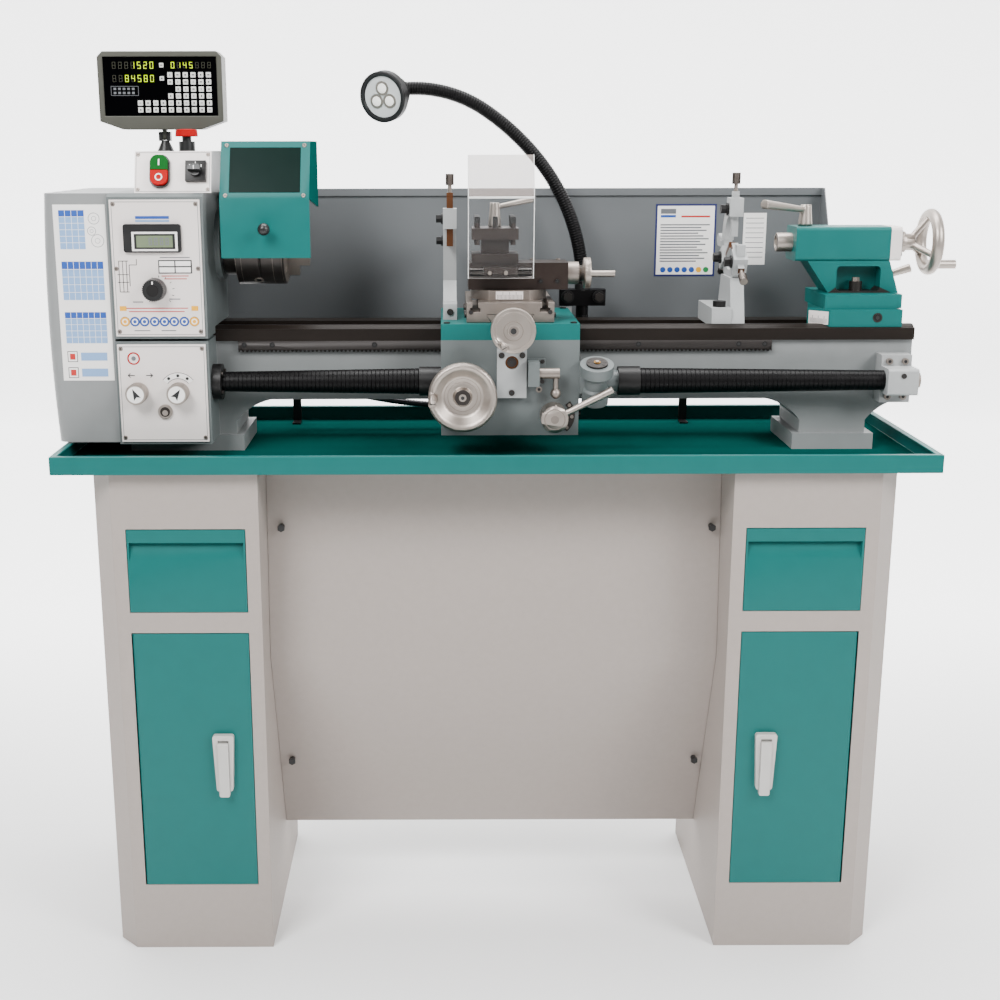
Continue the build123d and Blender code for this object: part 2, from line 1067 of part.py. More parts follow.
def feed_range_knob():
    return panel_knob(feed_range_x, feed_knob_z, feed_knob_radius, feed_knob_depth, feed_knob_skirt)


def drive_motor():
    left = bed_left
    outline = [
        (0, 0),
        (0, motor_radius),
        (motor_length, motor_radius),
        (motor_length + motor_boss, motor_boss_radius),
        (motor_length + motor_boss, 0),
    ]
    body = spun("X", (left, motor_y, motor_z), outline)
    for number in range(motor_rib_count):
        turn = number * 360 / motor_rib_count
        rib = block(
            (motor_boss, motor_length - motor_boss),
            (-motor_rib_width / 2, motor_rib_width / 2),
            (motor_radius - motor_rib_height, motor_radius + motor_rib_height),
        )
        body += Pos(left, motor_y, motor_z) * Rot(turn, 0, 0) * rib
    foot_left = left + (motor_length - motor_foot_length) / 2
    foot = block(
        (foot_left, foot_left + motor_foot_length),
        (bed_back - way_overhang, motor_y),
        (motor_z - motor_foot_height / 2, motor_z + motor_foot_height / 2),
    )
    return body + foot


def spindle():
    left = bed_left - spindle_tail
    flange_left = headstock_right + bearing_boss + flange_gap
    outline = [
        (0, spindle_bore),
        (0, spindle_radius),
        (flange_left - left, spindle_radius),
        (flange_left - left, flange_radius),
        (flange_left - left + flange_length, flange_radius),
        (flange_left - left + flange_length, spindle_bore),
    ]
    return spun("X", (left, spindle_y, spindle_z), outline)


def chuck_left():
    return headstock_right + bearing_boss + flange_gap + flange_length


def chuck():
    left = chuck_left()
    middle = chuck_length / 2
    outline = [
        (0, chuck_bore),
        (0, chuck_radius),
        (middle - chuck_groove, chuck_radius),
        (middle, chuck_radius - chuck_groove),
        (middle + chuck_groove, chuck_radius),
        (chuck_length - chuck_groove, chuck_radius),
        (chuck_length, chuck_radius - chuck_groove),
        (chuck_length, chuck_bore),
    ]
    pieces = [spun("X", (left, spindle_y, spindle_z), outline)]
    step = jaw_inner + (jaw_outer - jaw_inner) * jaw_step_share
    for number in range(jaw_count):
        jaw_side = [
            (0, jaw_inner),
            (jaw_length, jaw_inner),
            (jaw_length, step),
            (jaw_length / 2, step),
            (jaw_length / 2, jaw_outer),
            (0, jaw_outer),
        ]
        jaw = prism("Y", jaw_side, (-jaw_width / 2, jaw_width / 2))
        turn = 90 + number * 360 / jaw_count
        pieces.append(Pos(left + chuck_length, spindle_y, spindle_z) * Rot(turn, 0, 0) * jaw)
    return Compound(children=pieces)


def guard_outline():
    return [
        (guard_front, guard_low),
        (guard_front, guard_fold),
        (guard_high_front, guard_high),
        (guard_back, guard_high),
        (guard_back, guard_side_low),
    ]


def window_frame():
    """The place on the sloping panel that the window fills."""
    low = Vector(0, guard_front, guard_fold)
    high = Vector(0, guard_high_front, guard_high)
    slope = high - low
    middle = Vector(guard_left + guard_width / 2, 0, 0) + low + slope * (1 / 2)
    place = Plane(origin=middle, x_dir=(1, 0, 0), z_dir=(0, -slope.Z, slope.Y))
    return place, slope.length * window_height_share


def chuck_guard():
    right = guard_left + guard_width
    solid = prism("X", guard_outline(), (guard_left, right))
    drop = guard_sheet / 2
    inner = [
        (guard_front + guard_sheet, guard_low - overrun),
        (guard_front + guard_sheet, guard_fold - drop),
        (guard_high_front + drop, guard_high - guard_sheet),
        (guard_back + overrun, guard_high - guard_sheet),
        (guard_back + overrun, guard_side_low - guard_sheet),
    ]
    below = [
        (guard_front + guard_sheet, guard_low - overrun),
        (guard_front + guard_sheet, guard_fold),
        (guard_back + overrun, guard_side_low),
        (guard_back + overrun, guard_low - overrun),
    ]
    hollow = prism("X", inner, (guard_left - overrun, right - guard_sheet))
    hollow += prism("X", below, (guard_left - overrun, right + overrun))
    place, height = window_frame()
    opening = place * Box(window_width, height, guard_sheet * 4)
    shell = solid - hollow - opening
    hub_x = (guard_left, guard_left + guard_hub_length)
    hub = rod("X", (hub_x[0], guard_pivot_y, guard_pivot_z), guard_hub_length, guard_hub)
    arm = block(
        (guard_left, guard_left + guard_sheet),
        (guard_back - guard_hub, guard_pivot_y),
        (guard_pivot_z, guard_high - guard_sheet),
    )
    bore = rod(
        "X",
        (hub_x[0] - overrun, guard_pivot_y, guard_pivot_z),
        guard_hub_length + 2 * overrun,
        guard_pin + shaft_gap,
    )
    knob_x = guard_left + guard_width / 2
    knob_z = (guard_low + guard_fold) / 2
    neck = rod("-Y", (knob_x, guard_front, knob_z), guard_knob_reach - guard_knob_radius, guard_knob_neck)
    ball_y = guard_front - guard_knob_reach + guard_knob_radius / 2
    ball = Pos(knob_x, ball_y, knob_z) * Sphere(guard_knob_radius)
    return shell + arm + hub - bore + neck + ball


def guard_window():
    place, height = window_frame()
    pane = Box(window_width, height, window_sheet, align=(Align.CENTER, Align.CENTER, Align.MAX))
    return place * pane


def box_face():
    """The place at the middle of the control box's sloping front."""
    slope = Vector(0, box_front_top - box_front, box_height)
    middle = Vector((box_left + box_right) / 2, (box_front + box_front_top) / 2, (box_bottom + box_top) / 2)
    return Plane(origin=middle, x_dir=(1, 0, 0), z_dir=(0, -slope.Z, slope.Y))


def button_form(grow, depth):
    """The long rounded form shared by the button pair, its base and its well."""
    form = Box(button_width + 2 * grow, button_height + 2 * grow, depth, align=ON_END)
    return fillet(form.edges().filter_by(Axis.Z), button_round + grow)


def control_box():
    outline = [
        (box_front, box_bottom),
        (box_front_top, box_top),
        (box_back, box_top),
        (box_back, box_bottom),
    ]
    body = prism("X", outline, (box_left, box_right))
    face = box_face()
    half = (box_right - box_left) / 2
    base = face * Pos(button_x - half, 0, 0) * button_form(button_gap, button_base)
    well = face * Pos(button_x - half, 0, -button_reach) * button_form(
        slide_gap - button_gap, button_base + button_reach + overrun)
    seat = face * Pos(switch_x - half, 0, 0) * Box(switch_plate, switch_plate, switch_base, align=ON_END)
    stem_hole = face * Pos(switch_x - half, 0, -knob_stem_length) * Cylinder(
        knob_stem + shaft_gap, knob_stem_length + switch_base + overrun, align=ON_END)
    collar_place = (box_left + stop_x, stop_y, box_top)
    collar = rod("Z", collar_place, stop_collar, stop_collar_radius)
    stem_well = rod(
        "Z",
        (box_left + stop_x, stop_y, box_top - stop_collar),
        2 * stop_collar + overrun,
        stop_stem + shaft_gap,
    )
    return body + base + seat + collar - well - stem_hole - stem_well


def push_button(side):
    """One half of the pair of push buttons: side is 1 for the upper one, -1 for the lower one."""
    face = box_face()
    half = (box_right - box_left) / 2
    span = sorted((side * button_gap / 2, side * button_height))
    reach = button_width / 2
    key = button_form(-button_gap, button_reach) & block((-reach, reach), span, (0, button_reach))
    return face * Pos(button_x - half, 0, button_base - button_reach / 2) * key


def start_button():
    return push_button(1)


def stop_button():
    return push_button(-1)


def direction_switch():
    face = box_face()
    half = (box_right - box_left) / 2
    stem = Pos(0, 0, -knob_stem_length) * Cylinder(knob_stem, knob_stem_length + switch_base, align=ON_END)
    body = Pos(0, 0, switch_base + slide_gap) * Cylinder(switch_knob_radius, switch_grip, align=ON_END)
    grip = Box(2 * switch_knob_radius, switch_grip, switch_reach, align=ON_END)
    grip = Pos(0, 0, switch_base + slide_gap) * grip
    neck = Pos(0, 0, switch_base) * Cylinder(knob_stem, slide_gap, align=ON_END)
    return face * Pos(switch_x - half, 0, 0) * (stem + neck + body + grip)


def emergency_stop():
    outline = [
        (-stop_collar / 2, 0),
        (-stop_collar / 2, stop_stem),
        (stop_collar + stop_stem, stop_stem),
        (stop_collar + stop_stem, stop_radius - stop_edge),
        (stop_collar + stop_stem + stop_edge, stop_radius),
        (stop_collar + stop_stem + stop_cap, stop_radius - stop_edge),
        (stop_collar + stop_stem + stop_cap + stop_edge, stop_radius / 2),
        (stop_collar + stop_stem + stop_cap + stop_edge, 0),
    ]
    return spun("Z", (box_left + stop_x, stop_y, box_top), outline)


def readout_arm():
    place = (box_left + arm_x, arm_y, box_top)
    cone = rod("Z", place, arm_cone, arm_base_radius, arm_neck_radius)
    fork_width = 3 * arm_neck_radius
    fork = block(
        (place[0] - fork_width / 2, place[0] + fork_width / 2),
        (arm_y - arm_neck_radius, arm_y + arm_neck_radius),
        (box_top + arm_cone, box_top + arm_cone + arm_fork),
    )
    slot = block(
        (place[0] - arm_neck_radius / 2 - slide_gap, place[0] + arm_neck_radius / 2 + slide_gap),
        (arm_y - arm_neck_radius - overrun, arm_y + arm_neck_radius + overrun),
        (readout_pivot_z - arm_neck_radius, box_top + arm_cone + arm_fork + overrun),
    )
    pin = rod("X", (place[0] - fork_width / 2, arm_y, readout_pivot_z), fork_width, arm_neck_radius / 2)
    return cone + fork - slot + pin


def readout_console():
    middle = box_left + arm_x
    half = readout_width / 2
    skirt_half = readout_skirt_width / 2
    low = readout_bottom + readout_skirt
    high = readout_bottom + readout_height + readout_skirt
    outline = [
        (middle - half, low),
        (middle - half, high - readout_chamfer),
        (middle - half + readout_chamfer, high),
        (middle + half - readout_chamfer, high),
        (middle + half, high - readout_chamfer),
        (middle + half, low),
        (middle + skirt_half, readout_bottom),
        (middle - skirt_half, readout_bottom),
    ]
    y = (arm_y - readout_depth / 2, arm_y + readout_depth / 2)
    housing = prism("Y", outline, y)
    face = block(
        (middle - half + readout_frame, middle + half - readout_frame),
        (y[0] - overrun, y[0] + readout_recess),
        (low + readout_frame, high - readout_frame),
    )
    lug_radius = arm_neck_radius - slide_gap
    lug_left = middle - arm_neck_radius / 2
    lug = block(
        (lug_left, lug_left + arm_neck_radius),
        (arm_y - lug_radius, arm_y + lug_radius),
        (readout_pivot_z, readout_bottom),
    )
    lug += rod("X", (lug_left, arm_y, readout_pivot_z), arm_neck_radius, lug_radius)
    bore = rod(
        "X",
        (middle - arm_neck_radius, arm_y, readout_pivot_z),
        2 * arm_neck_radius,
        arm_neck_radius / 2 + shaft_gap,
    )
    return housing - face + lug - bore


def leadscrew_bracket():
    left = bracket_right - bracket_length
    plate = block(
        (left, bracket_right),
        (leadscrew_y + bracket_nose / 2, wall_front),
        (leadscrew_z - bracket_height / 2, leadscrew_z + bracket_height / 2),
    )
    nose_half = bracket_nose_height / 2
    nose = rounded(
        (left, bracket_right),
        (leadscrew_y - bracket_nose, leadscrew_y + bracket_nose),
        (leadscrew_z - nose_half, leadscrew_z + nose_half),
        Axis.X,
        panel_margin,
    )
    bore = rod(
        "X",
        (left - overrun, leadscrew_y, leadscrew_z),
        bracket_length + 2 * overrun,
        leadscrew_radius + shaft_gap,
    )
    return plate + nose - bore


def leadscrew():
    left = headstock_right - bracket_length + leadscrew_flange
    length = bracket_right - left
    outline = [
        (0, 0),
        (0, leadscrew_radius),
        (length + slide_gap, leadscrew_radius),
        (length + slide_gap, leadscrew_nut),
        (length + slide_gap + leadscrew_end, leadscrew_nut),
        (length + slide_gap + leadscrew_end, 0),
    ]
    return spun("X", (left, leadscrew_y, leadscrew_z), outline)


def spiral_cover(axis, start, length):
    """A coiled strip cover that widens in overlapping turns towards the carriage."""
    turn = length / cover_turns
    swell = (cover_large_radius - cover_small_radius) / cover_turns
    outline = [(0, cover_inner_radius)]
    for number in range(cover_turns):
        radius = cover_small_radius + number * swell
        outline += [(number * turn, radius + cover_lip), ((number + 1) * turn, radius)]
    outline += [(length, cover_inner_radius)]
    return spun(axis, (start, leadscrew_y, leadscrew_z), outline)


def left_spiral_cover():
    start = headstock_right + leadscrew_flange
    return spiral_cover("X", start, carriage_left - collar_length - slide_gap - start)


def right_spiral_cover():
    start = bracket_right - bracket_length
    end = carriage_right + sleeve_length + collar_length + slide_gap
    return spiral_cover("-X", start, start - end)


def saddle():
    x = (carriage_left, carriage_right)
    plate = block(x, (saddle_front, saddle_back), (saddle_foot, saddle_top))
    plate -= way_clearance((carriage_left - overrun, carriage_right + overrun))
    between = (bed_front + way_width - overrun, bed_back - way_width + overrun)
    plate -= block(
        (carriage_left - overrun, carriage_right + overrun),
        between,
        (saddle_foot - overrun, way_top + slide_gap),
    )
    tail = [
        (carriage_x - dovetail_low / 2, saddle_top),
        (carriage_x - dovetail_high / 2, saddle_top + dovetail_height),
        (carriage_x + dovetail_high / 2, saddle_top + dovetail_height),
        (carriage_x + dovetail_low / 2, saddle_top),
    ]
    plate += prism("Y", tail, (cross_front, saddle_back))
    return plate


def dial_frame():
    """The thread dial's axis, which leans to the front."""
    return Pos(dial_x, dial_y, leadscrew_z) * Rot(dial_lean, 0, 0)


def apron():
    x = (carriage_left, carriage_right)
    body = block(x, (saddle_front, apron_back), (apron_bottom, saddle_foot))
    left_collar = rod("-X", (carriage_left, leadscrew_y, leadscrew_z), collar_length, collar_radius)
    sleeve = rod("X", (carriage_right, leadscrew_y, leadscrew_z), sleeve_length, sleeve_radius)
    right_collar = rod(
        "X", (carriage_right + sleeve_length, leadscrew_y, leadscrew_z), collar_length, collar_radius,
    )
    bracket_face = saddle_front - bracket_depth
    bracket_left = carriage_x + bracket_x - bracket_width / 2
    bracket = block(
        (bracket_left, bracket_left + bracket_width),
        (bracket_face, saddle_front),
        (bracket_bottom, cross_screw_z + cross_wheel_dial),
    )
    recess = rod(
        "Y",
        (carriage_x + bracket_x, bracket_face - overrun, bracket_recess_z),
        bracket_depth / 2 + overrun,
        bracket_recess_radius,
    )
    shaft_hole = rod(
        "Y",
        (carriage_x + bracket_x, bracket_face - overrun, cross_screw_z),
        bracket_depth + overrun,
        cross_shaft + shaft_gap,
    )
    feed_left = carriage_x + feed_block_x - feed_block_width / 2
    feed_block = block(
        (feed_left, feed_left + feed_block_width / 2),
        (saddle_front - feed_rod_stand - feed_rod_radius - feed_block_depth / 2, saddle_front),
        (feed_block_z - feed_block_height / 2, feed_block_z + feed_block_height / 2),
    )
    rod_hole = rod(
        "X",
        (feed_left - overrun, saddle_front - feed_rod_stand, feed_block_z),
        feed_block_width,
        feed_arm_radius + shaft_gap,
    )
    foot = dial_bottom - leadscrew_z
    top = dial_top - leadscrew_z
    step = dial_flange_radius - dial_body_radius
    dial_outline = [
        (foot, 0),
        (foot, dial_foot_radius),
        (foot + dial_foot, dial_foot_radius),
        (foot + dial_foot + step / 2, dial_body_radius),
        (top - dial_flange - step, dial_body_radius),
        (top - dial_flange, dial_flange_radius),
        (top, dial_flange_radius),
        (top, 0),
    ]
    dial_body = dial_frame() * spun("Z", (0, 0, 0), dial_outline)
    dial_arm = block(
        (carriage_right, dial_x),
        (dial_y, leadscrew_y - sleeve_radius / 2),
        (leadscrew_z - dial_arm_height / 2, leadscrew_z + dial_arm_height / 2),
    )
    dial_hole = dial_frame() * rod(
        "Z", (0, 0, top - dial_body_radius), dial_body_radius + overrun, knob_stem + shaft_gap,
    )
    casting = body + left_collar + sleeve + right_collar + bracket + feed_block + dial_arm + dial_body
    wheel_hole = rod(
        "Y",
        (carriage_x + apron_wheel_x, saddle_front - overrun, apron_wheel_z),
        apron_wheel_hub + overrun,
        apron_wheel_shaft + shaft_gap,
    )
    nut_hole = rod(
        "Y",
        (carriage_x + half_nut_x, saddle_front - overrun, half_nut_z),
        apron_wheel_hub + overrun,
        apron_wheel_shaft + shaft_gap,
    )
    length = carriage_length + sleeve_length + 2 * collar_length + 2 * overrun
    screw_way = rod(
        "X",
        (carriage_left - collar_length - overrun, leadscrew_y, leadscrew_z),
        length,
        leadscrew_radius + slide_gap,
    )
    return casting - recess - shaft_hole - rod_hole - dial_hole - wheel_hole - nut_hole - screw_way


def apron_handwheel():
    reach = apron_wheel_reach
    rim_low = reach - apron_wheel_rim
    dish = apron_wheel_radius - apron_wheel_rim / 2
    outline = [
        (-apron_wheel_hub, 0),
        (-apron_wheel_hub, apron_wheel_shaft),
        (slide_gap, apron_wheel_shaft),
        (slide_gap, apron_wheel_hub),
        (rim_low - apron_wheel_rim / 2, apron_wheel_hub),
        (rim_low, dish),
        (rim_low, apron_wheel_radius),
        (reach, apron_wheel_radius),
        (reach, dish),
        (rim_low, apron_wheel_hub + apron_wheel_rim),
        (rim_low, apron_wheel_hub),
        (reach - apron_wheel_rim / 4, apron_wheel_hub - apron_wheel_rim / 4),
        (reach - apron_wheel_rim / 4, 0),
    ]
    place = (carriage_x + apron_wheel_x, saddle_front, apron_wheel_z)
    wheel = spun("-Y", place, outline)
    grip_at = (place[0] - apron_handle_at, saddle_front - reach + apron_wheel_rim / 2, apron_wheel_z)
    grip = rod("-Y", grip_at, apron_handle_length, apron_handle_radius)
    return wheel + grip


def cross_handwheel():
    face = saddle_front - bracket_depth
    reach = cross_wheel_reach
    rim_low = reach - cross_wheel_rim
    outline = [
        (-bracket_depth / 2, 0),
        (-bracket_depth / 2, cross_shaft),
        (slide_gap, cross_shaft),
        (slide_gap, cross_wheel_dial),
        (rim_low, cross_wheel_dial),
        (rim_low, cross_wheel_radius),
        (reach - cross_wheel_edge, cross_wheel_radius),
        (reach, cross_wheel_radius - cross_wheel_edge),
        (reach, 0),
    ]
    place = (carriage_x + bracket_x, face, cross_screw_z)
    wheel = spun("-Y", place, outline)
    turn = radians(cross_handle_turn)
    grip_at = (
        place[0] + cross_handle_at * cos(turn),
        face - reach + cross_wheel_edge,
        cross_screw_z + cross_handle_at * sin(turn),
    )
    grip = rod("-Y", grip_at, cross_handle_length, cross_handle_radius)
    return wheel + grip


def half_nut_lever():
    place = (carriage_x + half_nut_x, saddle_front, half_nut_z)
    outline = [
        (-apron_wheel_hub, 0),
        (-apron_wheel_hub, apron_wheel_shaft),
        (slide_gap, apron_wheel_shaft),
        (slide_gap, half_nut_radius),
        (half_nut_depth, half_nut_radius),
        (half_nut_depth, 0),
    ]
    hub = spun("-Y", place, outline)
    lever_y = saddle_front - half_nut_depth + half_nut_lever_margin
    turn = radians(half_nut_rise)
    tip = (place[0] + half_nut_reach * cos(turn), lever_y, half_nut_z + half_nut_reach * sin(turn))
    return hub + bar((place[0], lever_y, half_nut_z), tip, half_nut_lever_radius, half_nut_lever_tip)


def feed_rod_place():
    left = carriage_x + feed_block_x
    return left, saddle_front - feed_rod_stand, feed_block_z


def feed_lever():
    left, y, z = feed_rod_place()
    stub = rod("-X", (left + slide_gap, y, z), feed_block_width / 4, feed_arm_radius)
    barrel = rod("X", (left + slide_gap, y, z), feed_rod_length, feed_rod_radius)
    arm_x = left + feed_rod_length - feed_arm_margin
    arm = rod("-Z", (arm_x, y, z), feed_arm_length, feed_arm_radius)
    ball = Pos(arm_x, y, z - feed_arm_length) * Sphere(feed_ball_radius)
    return stub + barrel + arm + ball


def thread_dial():
    outline = [
        (-dial_body_radius / 2, 0),
        (-dial_body_radius / 2, knob_stem),
        (slide_gap, knob_stem),
        (slide_gap, dial_radius),
        (dial_thickness, dial_radius),
        (dial_thickness, 0),
    ]
    return dial_frame() * spun("Z", (0, 0, dial_top - leadscrew_z), outline)


def cross_slide():
    left = carriage_x + cross_left
    y = (cross_front, cross_front + cross_length)
    body = block((left, left + cross_width), y, (cross_bottom, cross_top))
    low = dovetail_low / 2 + slide_gap
    high = dovetail_high / 2 + slide_gap
    groove = prism(
        "Y",
        [
            (carriage_x - low, saddle_top - overrun),
            (carriage_x - high, saddle_top + dovetail_height + slide_gap),
            (carriage_x + high, saddle_top + dovetail_height + slide_gap),
            (carriage_x + low, saddle_top - overrun),
        ],
        (y[0] - overrun, y[1] + overrun),
    )
    body -= groove
    for side in (-1, 1):
        middle = carriage_x + side * slot_offset
        long_y = (y[0] - overrun, y[1] + overrun)
        body -= block(
            (middle - slot_width / 2, middle + slot_width / 2),
            long_y,
            (cross_top - slot_depth, cross_top + overrun),
        )
        foot_z = (cross_top - slot_depth, cross_top - slot_depth + slot_foot_height)
        body -= block((middle - slot_foot / 2, middle + slot_foot / 2), long_y, foot_z)
    return body


def swivel_base():
    place = (carriage_x, swivel_y, swivel_bottom + slide_gap)
    disc = rod("Z", place, swivel_height, swivel_radius)
    flat = block(
        (carriage_x - swivel_radius, carriage_x + swivel_radius),
        (swivel_y - swivel_radius - overrun, swivel_y - swivel_flat),
        (swivel_bottom, swivel_top + overrun),
    )
    left = carriage_x + rail_left
    rail = prism(
        "X",
        [
            (post_y - rail_low / 2, swivel_top),
            (post_y - rail_high / 2, swivel_top + rail_height),
            (post_y + rail_high / 2, swivel_top + rail_height),
            (post_y + rail_low / 2, swivel_top),
        ],
        (left, left + rail_length),
    )
    return disc - flat + rail


def top_slide():
    left = carriage_x + top_left
    y = (post_y - top_width / 2, post_y + top_width / 2)
    body = block((left, top_right), y, (top_bottom, top_top))
    low = rail_low / 2 + slide_gap
    high = rail_high / 2 + slide_gap
    groove = prism(
        "X",
        [
            (post_y - low, swivel_top),
            (post_y - high, swivel_top + rail_height + slide_gap),
            (post_y + high, swivel_top + rail_height + slide_gap),
            (post_y + low, swivel_top),
        ],
        (left - overrun, top_right + overrun),
    )
    nose = rod("X", (top_right, post_y, top_screw_z + top_dial_radius / 2), top_nose, top_nose_radius)
    shaft = (nose_right + overrun, post_y, top_screw_z + top_dial_radius / 2)
    hole = rod("-X", shaft, top_shaft_seat + overrun, top_shaft + shaft_gap)
    pin_left = carriage_x + shield_left + shield_block_margin
    pin_length = shield_width - 2 * shield_block_margin
    pin = rod("X", (pin_left, shield_pin_y, shield_pin_z), pin_length, shield_pin)
    carrier = block(
        (pin_left + shield_hub_length + slide_gap, pin_left + pin_length - shield_hub_length - slide_gap),
        (shield_pin_y - shield_pin, y[0]),
        (shield_pin_z - shield_pin / 2, shield_pin_z + shield_hub),
    )
    stud_length = post_top - top_top + post_lever_height / 2
    stud = rod("Z", (carriage_x + post_x, post_y, top_top), stud_length, stud_radius)
    return body - groove + nose - hole + carrier + pin + stud


def top_slide_handwheel():
    place = (nose_right, post_y, top_screw_z + top_dial_radius / 2)
    reach = top_dial + top_wheel_rim
    outline = [
        (-top_shaft_seat, 0),
        (-top_shaft_seat, top_shaft),
        (slide_gap, top_shaft),
        (slide_gap, top_dial_radius),
        (top_dial, top_dial_radius),
        (top_dial, top_wheel_radius),
        (reach, top_wheel_radius),
        (reach, 0),
    ]
    wheel = spun("X", place, outline)
    grip = rod(
        "X", (place[0] + reach, post_y - top_handle_at, place[2]), top_handle_length, top_handle_radius,
    )
    return wheel + grip


def tool_post():
    middle = carriage_x + post_x
    half = post_width / 2
    core = post_core / 2
    x = (middle - half, middle + half)
    y = (post_y - half, post_y + half)
    low = post_bottom + post_plate
    high = low + post_throat
    post = block(x, y, (post_bottom, low))
    post += block((middle - core, middle + core), (post_y - core, post_y + core), (low, high))
    post += block(x, y, (high, post_top))
    reach = half - post_bolt_margin
    for along, across in ((1, 1), (1, -1), (-1, 1), (-1, -1)):
        at = (middle + along * reach, post_y + across * reach, high - post_bolt_margin)
        post += rod("Z", at, post_cap + post_bolt_margin + post_bolt_rise, post_bolt_radius)
    bore_length = post_top - post_bottom + 2 * overrun
    return post - rod("Z", (middle, post_y, post_bottom - overrun), bore_length, stud_radius + shaft_gap)


def tool_post_lever():
    place = (carriage_x + post_x, post_y, post_top + slide_gap)
    cone = rod("Z", place, post_lever_height, post_lever_foot, post_lever_head)
    start_z = place[2] + post_lever_height - post_lever_head
    start = (place[0], post_y, start_z)
    tip = (place[0] + post_lever_reach, post_y, start_z + post_lever_rise)
    bore_start = (place[0], post_y, place[2] - overrun)
    bore = rod("Z", bore_start, post_lever_height / 2 + overrun, stud_radius + shaft_gap)
    return cone + bar(start, tip, post_lever_radius, post_lever_tip) - bore


def tool_guard():
    left = carriage_x + shield_left
    x = (left, left + shield_width)
    front = [(shield_foot_y, shield_low), (shield_front, shield_fold), (shield_high_y, shield_high)]
    back = [(y + shield_sheet, z) for y, z in reversed(front)]
    sheet = prism("X", front + back, x)
    pin_left = left + shield_block_margin
    pin_right = x[1] - shield_block_margin
    for start in (pin_left, pin_right - shield_hub_length):
        sheet += rod("X", (start, shield_pin_y, shield_pin_z), shield_hub_length, shield_hub)
        sheet -= rod(
            "X",
            (start - overrun, shield_pin_y, shield_pin_z),
            shield_hub_length + 2 * overrun,
            shield_pin + shaft_gap,
        )
    return sheet


def finger_knob(axis, at):
    """A screw stem with a round knob, which drives one finger."""
    outline = [
        (0, 0),
        (0, finger_screw),
        (finger_screw_length, finger_screw),
        (finger_screw_length, finger_knob_radius),
        (finger_screw_length + finger_knob_length, finger_knob_radius),
        (finger_screw_length + finger_knob_length, 0),
    ]
    return spun(axis, at, outline)


def follow_rest():
    middle = follow_x
    x = (middle - follow_thickness / 2, middle + follow_thickness / 2)
    foot_top = saddle_top + follow_foot_height
    head_front = spindle_y - follow_head_width / 2
    head_back = spindle_y + follow_head_width / 2
    side = [
        (follow_front, saddle_top),
        (follow_front, foot_top),
        (follow_front + follow_foot_length, foot_top),
        (follow_front + 2 * follow_foot_length, saddle_top + follow_arm_height),
        (follow_back - follow_column, foot_top + follow_foot_height),
        (follow_back - follow_column, follow_head_low),
        (head_front, follow_head_low),
        (head_front, follow_head_high),
        (head_back, follow_head_high),
        (follow_back, follow_head_low),
        (follow_back, saddle_top),
    ]
    casting = prism("X", side, x)
    half = finger_width / 2
    finger_x = (middle - half, middle + half)
    top_finger = block(
        finger_x, (spindle_y - half, spindle_y + half), (follow_finger_low, follow_finger_high),
    )
    rear_end = follow_back + finger_width
    rear_z = (spindle_z - half, spindle_z + half)
    rear_finger = block(finger_x, (follow_rear_tip, rear_end), rear_z)
    casting = casting - top_finger - rear_finger
    top_knob = finger_knob("Z", (middle, spindle_y, follow_finger_high))
    rear_knob = finger_knob("Y", (middle, rear_end, spindle_z))
    return Compound(children=[casting, top_finger + top_knob, rear_finger + rear_knob])


def steady_finger(degrees):
    """A finger that points at the spindle axis, with its knob outside."""
    half = finger_width / 2
    finger = block((-half, half), (steady_finger_tip, steady_finger_tail), (-half, half))
    finger += finger_knob("Y", (0, steady_finger_tail, 0))
    return Pos(steady_x, spindle_y, spindle_z) * Rot(degrees, 0, 0) * finger


def steady_ring(y_low, z_low, z_high):
    x = steady_x - steady_ring_thickness / 2
    hole_length = steady_ring_thickness + 2 * overrun
    ring = rod("X", (x, spindle_y, spindle_z), steady_ring_thickness, steady_ring_outer)
    ring -= rod("X", (x - overrun, spindle_y, spindle_z), hole_length, steady_ring_inner)
    span = (x - overrun, x - overrun + hole_length)
    return ring & block(span, (y_low, spindle_y + steady_ring_outer), (z_low, z_high))


def steady_hinge():
    return spindle_y + steady_ring_outer + steady_lug, spindle_z


def steady_head(degrees):
    half = steady_head_width / 2
    head = block(
        (-steady_thickness / 2, steady_thickness / 2),
        (steady_head_base, steady_head_reach),
        (-half, half),
    )
    return Pos(steady_x, spindle_y, spindle_z) * Rot(degrees, 0, 0) * head


